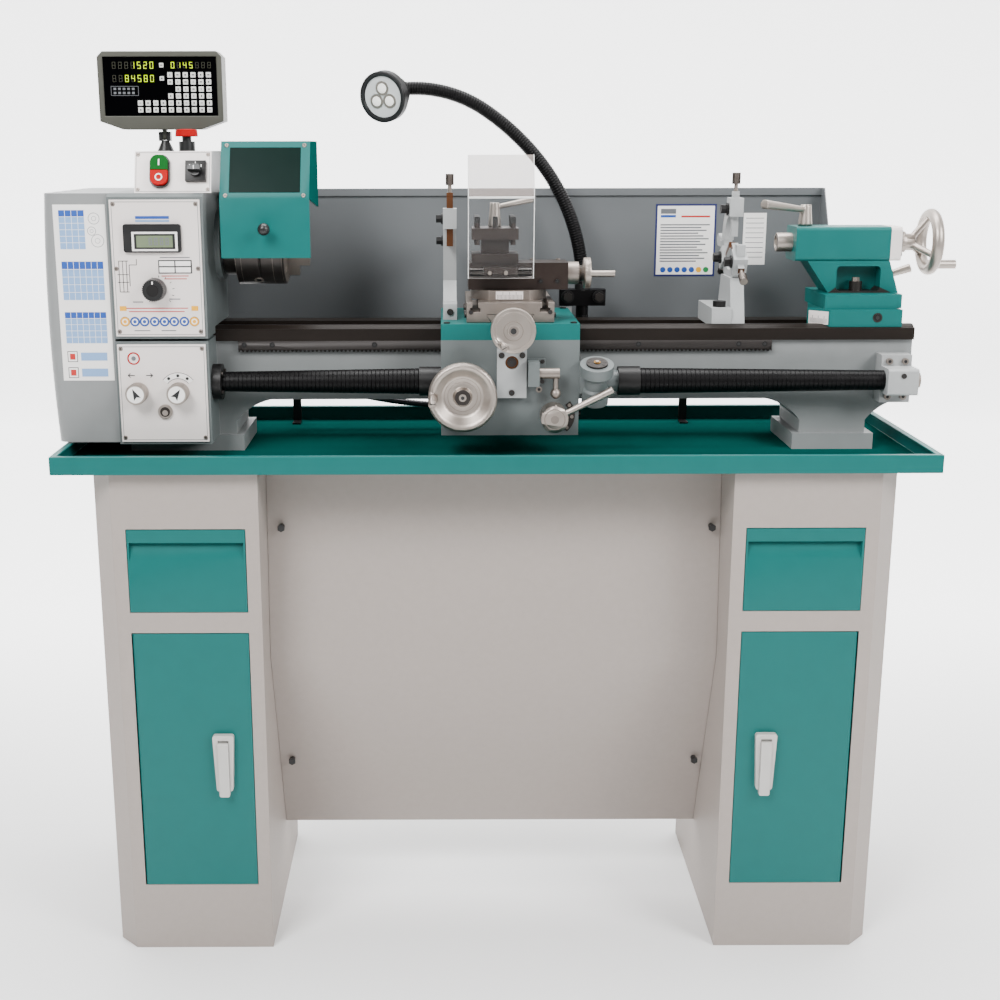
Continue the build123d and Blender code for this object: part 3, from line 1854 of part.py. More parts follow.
def steady_rest():
    x = (steady_x - steady_thickness / 2, steady_x + steady_thickness / 2)
    low = way_top
    front = spindle_y - steady_ring_outer
    frame = steady_ring(front, spindle_z - steady_ring_outer, spindle_z - slide_gap)
    waist = steady_waist / 2
    base = steady_base / 2
    waist_z = spindle_z - steady_ring_inner - steady_lug
    stem = [
        (spindle_y - base, low),
        (spindle_y - waist, waist_z),
        (spindle_y + waist, waist_z),
        (spindle_y + base, low),
    ]
    ring_hole = rod(
        "X", (x[0] - overrun, spindle_y, spindle_z), steady_thickness + 2 * overrun, steady_ring_inner,
    )
    foot = block(
        (x[0] - steady_foot_length, x[0]),
        (spindle_y - base, spindle_y + base),
        (low, vee_top + steady_foot_height),
    )
    frame = frame + prism("X", stem, x) + foot
    angles = (steady_angle + 180, -steady_angle)
    for angle in angles:
        frame += steady_head(angle)
    hinge_y, hinge_z = steady_hinge()
    third = steady_thickness / 3
    lug = rod("X", (x[0], hinge_y, hinge_z), third, steady_lug)
    lug += block((x[0], x[0] + third), (hinge_y - 2 * steady_lug, hinge_y), (hinge_z - steady_lug, hinge_z))
    frame = frame + lug - ring_hole
    frame += rod("X", (x[0], hinge_y, hinge_z), steady_thickness, steady_pin)
    frame -= way_clearance((x[0] - steady_foot_length - overrun, x[1] + overrun))
    nut_at = (x[0] - steady_foot_length / 2, spindle_y - waist, vee_top + steady_foot_height)
    nut = rod("Z", nut_at, steady_nut, steady_nut_radius)
    fingers = [steady_finger(angle) for angle in angles]
    for finger in fingers:
        frame -= finger
    return Compound(children=[frame + nut] + fingers)


def steady_rest_top():
    x = (steady_x - steady_thickness / 2, steady_x + steady_thickness / 2)
    arch = steady_ring(spindle_y, spindle_z, spindle_z + steady_ring_outer) + steady_head(90)
    hinge_y, hinge_z = steady_hinge()
    third = steady_thickness / 3
    start = x[0] + third + slide_gap
    width = 2 * third - slide_gap
    lug = rod("X", (start, hinge_y, hinge_z), width, steady_lug)
    lug += block((start, x[1]), (hinge_y - 2 * steady_lug, hinge_y), (hinge_z, hinge_z + steady_lug))
    bore = rod("X", (start - overrun, hinge_y, hinge_z), width + 2 * overrun, steady_pin + shaft_gap)
    finger = steady_finger(90)
    ring_hole = rod(
        "X", (x[0] - overrun, spindle_y, spindle_z), steady_thickness + 2 * overrun, steady_ring_inner,
    )
    arch = arch + lug - bore - ring_hole - finger
    return Compound(children=[arch, finger])


def tailstock():
    half = barrel_width / 2
    x = (tail_left, barrel_right)
    barrel = rounded(
        x,
        (spindle_y - half, spindle_y + half),
        (spindle_z - barrel_low, spindle_z + barrel_high),
        Axis.X,
        barrel_edge,
    )
    cap = rounded(
        (barrel_right, plate_right),
        (spindle_y - half, spindle_y + half),
        (spindle_z - barrel_low, spindle_z + barrel_high),
        Axis.X,
        barrel_edge,
    )
    base_top = spindle_z - barrel_low - pedestal_height
    side = [
        (tail_left + pedestal_left - pedestal_lean, spindle_z - barrel_low),
        (tail_left + pedestal_left, base_top),
        (plate_right, base_top),
        (plate_right - pedestal_flare, spindle_z - barrel_low),
    ]
    pedestal = prism("Y", side, (spindle_y - pedestal_width / 2, spindle_y + pedestal_width / 2))
    recess = rounded(
        (tail_left + window_left, tail_left + window_right),
        (spindle_y - pedestal_width / 2 - overrun, spindle_y - pedestal_width / 2 + window_depth),
        (base_top + window_sill, spindle_z - barrel_low - window_lintel),
        Axis.Y,
        window_edge,
    )
    upper = block(
        (plate_right - tail_top_back - tail_top_length, plate_right - tail_top_back),
        (spindle_y - tail_top_width / 2, spindle_y + tail_top_width / 2),
        (base_top - tail_top_height, base_top),
    )
    right = plate_right - tail_base_back
    plan_front = spindle_y - tail_base_width / 2
    plan_back = spindle_y + tail_base_width / 2
    plan = [
        (right - tail_base_length + tail_slant, plan_front),
        (right, plan_front),
        (right, plan_back),
        (right - tail_base_length + tail_slant, plan_back),
        (right - tail_base_length, plan_front + tail_slant),
    ]
    lower = prism("Z", plan, (way_top, base_top - tail_top_height))
    lower -= way_clearance((right - tail_base_length - overrun, right + overrun))
    bolt_at = (
        tail_left + (window_left + window_right) / 2,
        spindle_y - pedestal_width / 2 + window_depth / 2,
        base_top + window_sill,
    )
    bolt = rod("Z", bolt_at, clamp_bolt_height, clamp_bolt_radius)
    pin = rod(
        "Y",
        (plate_right - clamp_pin_back, spindle_y + pedestal_width / 2, clamp_pin_z),
        clamp_hub_length,
        clamp_pin,
    )
    stud = rod("Z", (tail_left + lock_x, spindle_y, spindle_z + barrel_high), lock_height / 2, lock_stud)
    body = barrel + pedestal - recess + upper + lower + bolt + pin + stud
    bore = rod(
        "X",
        (tail_left - overrun, spindle_y, spindle_z),
        barrel_length + 2 * overrun,
        quill_radius + shaft_gap,
    )
    shaft = rod(
        "X",
        (barrel_right - overrun, spindle_y, spindle_z),
        end_plate + 2 * overrun,
        tail_wheel_shaft + shaft_gap,
    )
    return Compound(children=[body - bore, cap - shaft])


def quill():
    outline = [
        (0, quill_bore),
        (0, quill_radius - quill_edge),
        (quill_edge, quill_radius),
        (quill_length, quill_radius),
        (quill_length, 0),
        (quill_bore_length, 0),
        (quill_bore_length, quill_bore),
    ]
    return spun("X", (quill_tip, spindle_y, spindle_z), outline)


def tailstock_handwheel():
    place = (plate_right, spindle_y, spindle_z)
    hub_end = tail_wheel_dial_length + tail_wheel_hub
    outline = [
        (-tail_wheel_shaft_length, 0),
        (-tail_wheel_shaft_length, tail_wheel_shaft),
        (slide_gap, tail_wheel_shaft),
        (slide_gap, tail_wheel_dial),
        (tail_wheel_dial_length, tail_wheel_dial),
        (tail_wheel_dial_length, tail_wheel_hub),
        (hub_end, tail_wheel_hub),
        (hub_end, 0),
    ]
    wheel = spun("X", place, outline)
    rim_x = plate_right + tail_wheel_dial_length + tail_wheel_dish
    rim_middle = tail_wheel_radius - tail_wheel_ring
    rim = [ring_point(0, rim_middle, tail_wheel_ring, turn) for turn in range(0, 360, rim_facet)]
    wheel += spun("X", (rim_x, spindle_y, spindle_z), rim)
    hub_x = plate_right + tail_wheel_dial_length + tail_wheel_hub / 2
    for number in range(tail_spoke_count):
        turn = 90 + number * 360 / tail_spoke_count
        rim_y, rim_z = ring_point(spindle_y, spindle_z, rim_middle, turn)
        wheel += bar((hub_x, spindle_y, spindle_z), (rim_x, rim_y, rim_z), tail_spoke_radius)
    grip_y, grip_z = ring_point(spindle_y, spindle_z, rim_middle, tail_handle_turn)
    return wheel + rod("X", (rim_x, grip_y, grip_z), tail_handle_length, tail_handle_radius)


def quill_lock_lever():
    place = (tail_left + lock_x, spindle_y, spindle_z + barrel_high + slide_gap)
    cone = rod("Z", place, lock_height, lock_foot, lock_head)
    start = (place[0], spindle_y, place[2] + lock_height - lock_head)
    tip = (place[0] - lock_reach, spindle_y - lock_lean, start[2] + lock_rise)
    bore_start = (place[0], spindle_y, place[2] - overrun)
    bore = rod("Z", bore_start, lock_height / 2 + overrun, lock_stud + shaft_gap)
    return cone + bar(start, tip, lock_lever_radius, lock_lever_tip) - bore


def tailstock_clamp_lever():
    at = (plate_right - clamp_pin_back, spindle_y + pedestal_width / 2 + slide_gap, clamp_pin_z)
    hub = rod("Y", at, clamp_hub_length, clamp_hub)
    middle_y = at[1] + clamp_hub_length / 2
    tip = (at[0] + clamp_reach, middle_y, clamp_pin_z + clamp_rise)
    lever = bar((at[0], middle_y, clamp_pin_z), tip, clamp_lever_radius, clamp_lever_tip)
    bore = rod("Y", (at[0], at[1] - overrun, clamp_pin_z), clamp_hub_length + overrun, clamp_pin + shaft_gap)
    return hub + lever - bore


def splash_guard():
    y = (splash_back - splash_sheet, splash_back)
    sheet = block((splash_left, splash_right), y, (splash_low, splash_high))
    sheet += block((splash_end, splash_left), y, (splash_step, splash_high))
    top_x = (splash_end, splash_right)
    lip = y[0] - splash_hem_depth
    sheet += block(top_x, (lip, splash_back), (splash_high - splash_sheet, splash_high))
    sheet += block(top_x, (lip, lip + splash_sheet), (splash_high - splash_hem, splash_high))
    wing = [
        (splash_back, splash_high),
        (splash_back - splash_wing_top, splash_high),
        (splash_back - splash_wing_reach, splash_wing_knee),
        (splash_back - splash_wing_reach, splash_low),
        (splash_back, splash_low),
    ]
    sheet += prism("X", wing, (splash_right - splash_sheet, splash_right))
    for share in strut_shares:
        place = splash_left + (splash_right - splash_left) * share
        strut_x = (place - strut_width / 2, place + strut_width / 2)
        sheet += block(
            strut_x, (splash_back, splash_back + strut_sheet), (tray_floor, splash_low + strut_foot),
        )
        sheet += block(
            strut_x, (splash_back - strut_foot, splash_back), (tray_floor, tray_floor + strut_sheet),
        )
    return sheet


def neck_points():
    """Where the bent neck leaves the clamp, and the ends of its bends."""
    start = (carriage_x + lamp_x, lamp_y, clamp_low + clamp_height)
    bends = [(start[0] - neck_reach * out, lamp_y, start[2] + neck_rise * up) for out, up in neck_shares]
    return [start] + bends


def lamp_head():
    outline = [
        (0, 0),
        (0, head_back_radius - head_recess),
        (head_recess, head_back_radius),
        (head_length - head_rim, head_back_radius + head_recess),
        (head_length - head_rim, head_radius),
        (head_length, head_radius),
        (head_length, head_recess_radius),
        (head_length - head_recess, head_recess_radius),
        (head_length - head_recess, 0),
    ]
    shell = spun("-Y", (0, head_length, 0), outline)
    neck_x, neck_y, neck_z = neck_points()[-1]
    place = Pos(neck_x - head_side, neck_y - head_front, neck_z - head_drop)
    return place * Rot(0, 0, -head_turn) * Rot(head_nod, 0, 0) * shell


def work_lamp():
    plate_left = carriage_x + lamp_plate_left
    plate = block(
        (plate_left, plate_left + lamp_plate_width),
        (saddle_back, lamp_y),
        (lamp_plate_low, clamp_low + clamp_height),
    )
    clamp = rounded(
        (carriage_x + clamp_left, carriage_x + clamp_right),
        (lamp_y - clamp_depth / 2 + saddle_edge, lamp_y + clamp_depth / 2),
        (clamp_low, clamp_low + clamp_height),
        Axis.Z,
        saddle_edge,
    )
    gland = rod("-Z", (carriage_x + lamp_x, lamp_y, clamp_low), gland_length, gland_radius)
    points = neck_points()
    start = points[0]
    path = None
    tangent = (0, 0, 1)
    for point, end in zip(points, points[1:]):
        arc = TangentArc(point, end, tangent=tangent)
        path = arc if path is None else path + arc
        tangent = arc % 1
    section = Plane(origin=start, z_dir=(0, 0, 1)) * Circle(neck_radius)
    neck = sweep(section, path=path)
    return plate + clamp + gland + neck + lamp_head()


def conduit_radii():
    """Each bend of the conduit is as large as its two runs allow."""
    radii = []
    points = [Vector(*point) for point in conduit_route]
    for before, corner, after in zip(points, points[1:], points[2:]):
        first = corner - before
        second = after - corner
        turn = radians(first.get_angle(second))
        radii.append(conduit_bend_share * min(first.length, second.length) / tan(turn / 2))
    return radii


def lamp_conduit():
    path = FilletPolyline(*conduit_route, radius=conduit_radii())
    start = Vector(*conduit_route[0])
    section = Plane(origin=start, z_dir=path % 0) * Circle(conduit_radius)
    return sweep(section, path=path)


def mirrored(shape):
    return mirror(shape, about=Plane.YZ)


def pieces():
    """Every piece by name, placed in the tray's frame."""
    left = {
        "left_cabinet": left_cabinet(),
        "left_drawer": left_drawer(),
        "left_door": left_door(),
        "left_latch_lever": left_latch_lever(),
    }
    right = {name.replace("left", "right"): mirrored(shape) for name, shape in left.items()}
    single = (
        rear_panel, chip_tray, bed, rack, headstock, feed_gearbox, gear_cover, front_plates, drive_motor,
        control_box, start_button, stop_button, emergency_stop, direction_switch, readout_arm, readout_console,
        spindle, chuck, chuck_guard, guard_window, speed_knob, feed_direction_knob, feed_range_knob,
        leadscrew_bracket,
        leadscrew,
        left_spiral_cover,
        right_spiral_cover,
        saddle,
        apron,
        apron_handwheel,
        half_nut_lever, feed_lever, thread_dial, cross_slide, cross_handwheel, swivel_base, top_slide,
        top_slide_handwheel, tool_post, tool_post_lever, tool_guard, follow_rest, steady_rest, steady_rest_top,
        tailstock, quill, tailstock_handwheel, quill_lock_lever, tailstock_clamp_lever, splash_guard, work_lamp,
        lamp_conduit,
    )
    return {**left, **right, **{make.__name__: make() for make in single}}


def origin_shift(shapes):
    """The move that puts the origin on the floor, under the middle of the overall box."""
    held = [shape for name, shape in shapes.items() if name != "lamp_conduit"]
    boxes = [shape.bounding_box() for shape in held]
    middle_x = (min(box.min.X for box in boxes) + max(box.max.X for box in boxes)) / 2
    middle_y = (min(box.min.Y for box in boxes) + max(box.max.Y for box in boxes)) / 2
    return -middle_x, -middle_y, 0


def main():
    os.makedirs("parts", exist_ok=True)
    shapes = pieces()
    shift = Pos(*origin_shift(shapes))
    for name, shape in shapes.items():
        export_step(shift * shape, f"parts/{name}.step")


if __name__ == "__main__":
    main()
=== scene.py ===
from math import atan2, cos, pi, radians, sin

import bmesh
import bpy
from mathutils import Matrix, Vector


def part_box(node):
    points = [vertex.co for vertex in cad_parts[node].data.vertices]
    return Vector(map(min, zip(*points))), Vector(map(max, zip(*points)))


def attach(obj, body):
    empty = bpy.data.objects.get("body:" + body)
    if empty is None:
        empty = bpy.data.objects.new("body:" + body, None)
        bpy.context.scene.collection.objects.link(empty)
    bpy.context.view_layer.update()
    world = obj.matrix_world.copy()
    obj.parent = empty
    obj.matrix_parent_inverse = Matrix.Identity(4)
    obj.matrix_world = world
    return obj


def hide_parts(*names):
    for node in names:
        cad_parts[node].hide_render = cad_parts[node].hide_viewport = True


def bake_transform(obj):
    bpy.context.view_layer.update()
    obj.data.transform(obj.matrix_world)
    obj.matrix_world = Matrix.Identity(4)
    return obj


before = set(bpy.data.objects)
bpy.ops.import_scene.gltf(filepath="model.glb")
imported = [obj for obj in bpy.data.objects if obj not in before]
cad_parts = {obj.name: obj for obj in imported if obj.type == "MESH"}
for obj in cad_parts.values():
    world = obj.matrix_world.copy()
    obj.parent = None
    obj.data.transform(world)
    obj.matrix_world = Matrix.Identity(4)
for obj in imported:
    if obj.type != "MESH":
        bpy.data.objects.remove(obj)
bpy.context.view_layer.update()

# Places are millimetres from the middle of the tray's front edge, at floor level.
tray_low, tray_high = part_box("chip_tray")
ZERO = Vector(((tray_low.x + tray_high.x) / 2, tray_low.y, 0))
ROOT = "stand_and_bed"

# Centre lines that several pieces share, in those millimetres.
AXIS_Y, AXIS_Z = 235, 1095      # spindle, tailstock and both rests
SCREW_Y, SCREW_Z = 125, 895     # leadscrew
WHEEL_X, WHEEL_Z = -49, 882     # apron handwheel
CROSS_X, CROSS_Z = 24.5, 981    # cross slide handwheel
NUT_X, NUT_Z = 87.5, 848        # half-nut lever
POST_X, POST_Y = 1, 182         # tool post, and the top slide's screw
FOLLOW_X = -67                  # follow rest
STEADY_X, STEADY_FACE = 376, 365.5
NECK_X, NECK_Y = 150, 328       # foot of the lamp's neck
LABEL_Y = 390                   # face of the splash guard


def at(x, y, z):
    """A place in the frame's metres."""
    return ZERO + Vector((x, y, z)) / 1000


def limits(node):
    """A CAD node's lowest and highest corner in millimetres."""
    low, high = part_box(node)
    return (low - ZERO) * 1000, (high - ZERO) * 1000


def linear(colour):
    """The linear values of an sRGB colour of 0 to 255."""
    return [((c / 255 + 0.055) / 1.055) ** 2.4 if c > 10 else c / 255 / 12.92 for c in colour]


# Materials

def surface(name, colour, rough=0.4, metal=0.0, vary=0.06, grain=40.0, bump=0.0,
            stretch=(1, 1, 1), fine=900.0, shine=0.5, alpha=1.0, glow=0.0):
    """A surface whose tone, gloss and grain all change from place to place."""
    material = bpy.data.materials.new(name)
    material.use_nodes = True
    tree = material.node_tree
    shader = tree.nodes["Principled BSDF"]
    base = linear(colour)
    places = tree.nodes.new("ShaderNodeTexCoord")
    spread = tree.nodes.new("ShaderNodeMapping")
    spread.inputs["Scale"].default_value = stretch
    tree.links.new(places.outputs["Object"], spread.inputs["Vector"])
    cloud = tree.nodes.new("ShaderNodeTexNoise")
    cloud.inputs["Scale"].default_value = grain
    cloud.inputs["Detail"].default_value = 4.0
    tree.links.new(spread.outputs["Vector"], cloud.inputs["Vector"])
    tone = tree.nodes.new("ShaderNodeMix")
    tone.data_type = "RGBA"
    tone.inputs["A"].default_value = [c * (1 - vary) for c in base] + [1]
    tone.inputs["B"].default_value = [min(1.0, c * (1 + vary)) for c in base] + [1]
    tree.links.new(cloud.outputs["Fac"], tone.inputs["Factor"])
    tree.links.new(tone.outputs["Result"], shader.inputs["Base Color"])
    gloss = tree.nodes.new("ShaderNodeMapRange")
    gloss.inputs["To Min"].default_value = max(0.02, rough - 0.06)
    gloss.inputs["To Max"].default_value = rough + 0.06
    tree.links.new(cloud.outputs["Fac"], gloss.inputs["Value"])
    tree.links.new(gloss.outputs["Result"], shader.inputs["Roughness"])
    shader.inputs["Metallic"].default_value = metal
    shader.inputs["Specular IOR Level"].default_value = shine
    shader.inputs["Alpha"].default_value = alpha
    if glow:
        shader.inputs["Emission Color"].default_value = base + [1]
        shader.inputs["Emission Strength"].default_value = glow
    if bump:
        speck = tree.nodes.new("ShaderNodeTexNoise")
        speck.inputs["Scale"].default_value = fine
        speck.inputs["Detail"].default_value = 2.0
        tree.links.new(spread.outputs["Vector"], speck.inputs["Vector"])
        relief = tree.nodes.new("ShaderNodeBump")
        relief.inputs["Strength"].default_value = bump
        relief.inputs["Distance"].default_value = 0.0004
        tree.links.new(speck.outputs["Fac"], relief.inputs["Height"])
        tree.links.new(relief.outputs["Normal"], shader.inputs["Normal"])
    return material


TEAL = surface("teal_enamel", (0, 88, 85), rough=0.42, vary=0.06, bump=0.16, fine=500, shine=0.25)
# A darker teal that paints light into teal parts: painted shade on the chuck guard's right side and painted
# reflection on the tray floor.
TEAL_PAINTED_SHADE = surface("teal_painted_shade_and_reflection", (0, 70, 65), rough=0.35, vary=0.14, grain=6, shine=0.0)
STAND = surface("stand_powder", (150, 141, 135), rough=0.5, vary=0.05, grain=90,
                bump=0.26, fine=1100, shine=0.3)
GREY = surface("grey_enamel", (92, 98, 98), rough=0.4, vary=0.07, bump=0.2, fine=480, shine=0.35)
COVER = surface("cover_enamel", (126, 128, 128), rough=0.4, vary=0.05, bump=0.2, fine=480, shine=0.35)
BED = surface("bed_enamel", (122, 125, 125), rough=0.42, vary=0.07, bump=0.22, fine=420, shine=0.35)
CAST = surface("rest_casting", (156, 158, 158), rough=0.45, metal=0.1, vary=0.08, bump=0.25, fine=380)
WAYS = surface("ground_ways", (28, 23, 20), rough=0.36, metal=0.1, vary=0.18, grain=14,
               stretch=(0.4, 5, 5), bump=0.08, shine=0.15)
RACK = surface("rack_steel", (34, 29, 27), rough=0.45, metal=0.3, vary=0.16)
STEEL = surface("turned_steel", (140, 131, 124), rough=0.46, metal=1.0, vary=0.08, grain=70)
BRIGHT = surface("bright_steel", (166, 157, 149), rough=0.42, metal=1.0, vary=0.05)
DARK = surface("dark_steel", (58, 54, 52), rough=0.36, metal=0.8, vary=0.16)
BROWN = surface("oiled_steel", (44, 34, 30), rough=0.38, metal=0.5, vary=0.18)
BLACKED = surface("blacked_iron", (20, 19, 19), rough=0.42, metal=0.1, vary=0.2, bump=0.2, shine=0.3)
BRONZE = surface("bronze", (92, 56, 32), rough=0.42, metal=0.7, vary=0.14)
BRASS = surface("brass", (150, 112, 56), rough=0.3, metal=1.0, vary=0.1)
SPLASH = surface("splash_sheet", (98, 101, 103), rough=0.42, metal=0.1, vary=0.08, grain=8,
                 bump=0.15, fine=520, shine=0.3)
PLATE = surface("printed_plate", (222, 214, 210), rough=0.4, metal=0.05, vary=0.03, grain=25)
WHITE = surface("white_print", (236, 233, 230), rough=0.45, vary=0.02)
BLUE = surface("blue_print", (24, 70, 150), rough=0.45, vary=0.05)
NAVY = surface("navy_print", (20, 28, 84), rough=0.45, vary=0.06)
PALE_BLUE = surface("pale_blue_print", (120, 156, 200), rough=0.45, vary=0.04)
# Black print; the same black also paints shade into screw sockets, slots and key holes.
INK_AND_SHADE = surface("black_print_and_painted_shade", (16, 16, 17), rough=0.5, vary=0.1)
PALE_INK = surface("grey_print", (92, 94, 98), rough=0.5, vary=0.06)
YELLOW = surface("yellow_print", (222, 160, 12), rough=0.45, vary=0.04)
RED_PRINT = surface("red_print", (176, 34, 30), rough=0.45, vary=0.05)
GREEN_PRINT = surface("green_print", (18, 120, 60), rough=0.45, vary=0.05)
BLACK = surface("black_plastic", (15, 15, 16), rough=0.38, vary=0.2, bump=0.12, fine=700)
RUBBER = surface("black_cover", (6, 5, 6), rough=0.4, vary=0.2, shine=0.15)
OLIVE = surface("readout_housing", (62, 62, 54), rough=0.42, vary=0.07, bump=0.16, fine=700)
SCREEN = surface("readout_face", (3, 3, 4), rough=0.4, vary=0.12, shine=0.0)
KEY = surface("readout_key", (206, 206, 202), rough=0.4, vary=0.04)
DIGIT = surface("lit_digit", (186, 214, 10), rough=0.4, vary=0.04, glow=1.1)
UNLIT = surface("unlit_digit", (34, 34, 14), rough=0.4, vary=0.1)
LCD = surface("lcd", (104, 116, 92), rough=0.2, vary=0.05)
LATCH = surface("latch_plastic", (176, 174, 170), rough=0.38, vary=0.04)
RED = surface("red_plastic", (158, 0, 4), rough=0.6, vary=0.06, shine=0.1)
GREEN = surface("green_plastic", (0, 78, 20), rough=0.6, vary=0.06, shine=0.1)
TINT = surface("tinted_window", (0, 22, 18), rough=0.3, vary=0.1, shine=0.08)
CLEAR = surface("clear_sheet", (196, 198, 198), rough=0.12, vary=0.02, alpha=0.018)
CLEAR_TOP = surface("clear_top", (172, 160, 155), rough=0.3, vary=0.02, alpha=0.36, shine=0.2)
# Near-white edge paint for the clear guard: painted highlight where light catches its edges and bend.
CLEAR_EDGE_HIGHLIGHT = surface("clear_edge_painted_highlight", (236, 236, 234), rough=0.2, vary=0.02, alpha=0.7)
LENS = surface("lamp_lens", (196, 200, 200), rough=0.2, vary=0.03)
LED = surface("lamp_led", (236, 236, 230), rough=0.2, vary=0.02, glow=0.5)
CONDUIT = surface("conduit_armour", (70, 70, 72), rough=0.38, metal=0.8, vary=0.14)

# The floor glows behind the object, so that the far floor and wall stay white.
FLOOR = surface("studio_floor", (246, 246, 246), rough=0.7, vary=0.004, grain=3)
nodes, links = FLOOR.node_tree.nodes, FLOOR.node_tree.links
split = nodes.new("ShaderNodeSeparateXYZ")
links.new(nodes["Texture Coordinate"].outputs["Object"], split.inputs["Vector"])
rise = nodes.new("ShaderNodeMapRange")
rise.interpolation_type = "SMOOTHSTEP"
rise.inputs["From Min"].default_value = 0.1
rise.inputs["From Max"].default_value = 1.6
rise.inputs["To Max"].default_value = 2.4
links.new(split.outputs["Y"], rise.inputs["Value"])
links.new(rise.outputs["Result"], nodes["Principled BSDF"].inputs["Emission Strength"])
nodes["Principled BSDF"].inputs["Emission Color"].default_value = (1, 1, 1, 1)


def dress(node, material, rules=(), bevel=0.6, smooth=32):
    """Gives a CAD node its surfaces; a rule tests the low and high corner and normal of each face."""
    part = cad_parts[node]
    mesh = part.data
    mesh.materials.clear()
    mesh.materials.append(material)
    for other, _ in rules:
        mesh.materials.append(other)
    for face in mesh.polygons:
        corners = [(mesh.vertices[i].co - ZERO) * 1000 for i in face.vertices]
        low = Vector([min(c[i] for c in corners) for i in range(3)])
        high = Vector([max(c[i] for c in corners) for i in range(3)])
        face.material_index = 0
        for number, (_, test) in enumerate(rules):
            if test(low, high, face.normal):
                face.material_index = number + 1
    weld = part.modifiers.new("weld", "WELD")
    weld.merge_threshold = 0.00001
    if bevel:
        edge = part.modifiers.new("edge", "BEVEL")
        edge.width = bevel / 1000
        edge.segments = 2
        edge.limit_method = "ANGLE"
        edge.angle_limit = radians(35)
        edge.harden_normals = True
    even = part.modifiers.new("even", "WEIGHTED_NORMAL")
    even.keep_sharp = True
    mesh.shade_smooth()
    mesh.set_sharp_from_angle(angle=radians(smooth))


# Building small pieces

HERE = Matrix.Identity(4)
TURN = {
    "X": Matrix.Rotation(pi / 2, 4, "Y"),
    "-X": Matrix.Rotation(-pi / 2, 4, "Y"),
    "Y": Matrix.Rotation(-pi / 2, 4, "X"),
    "-Y": Matrix.Rotation(pi / 2, 4, "X"),
    "Z": HERE,
    "-Z": Matrix.Rotation(pi, 4, "X"),
}


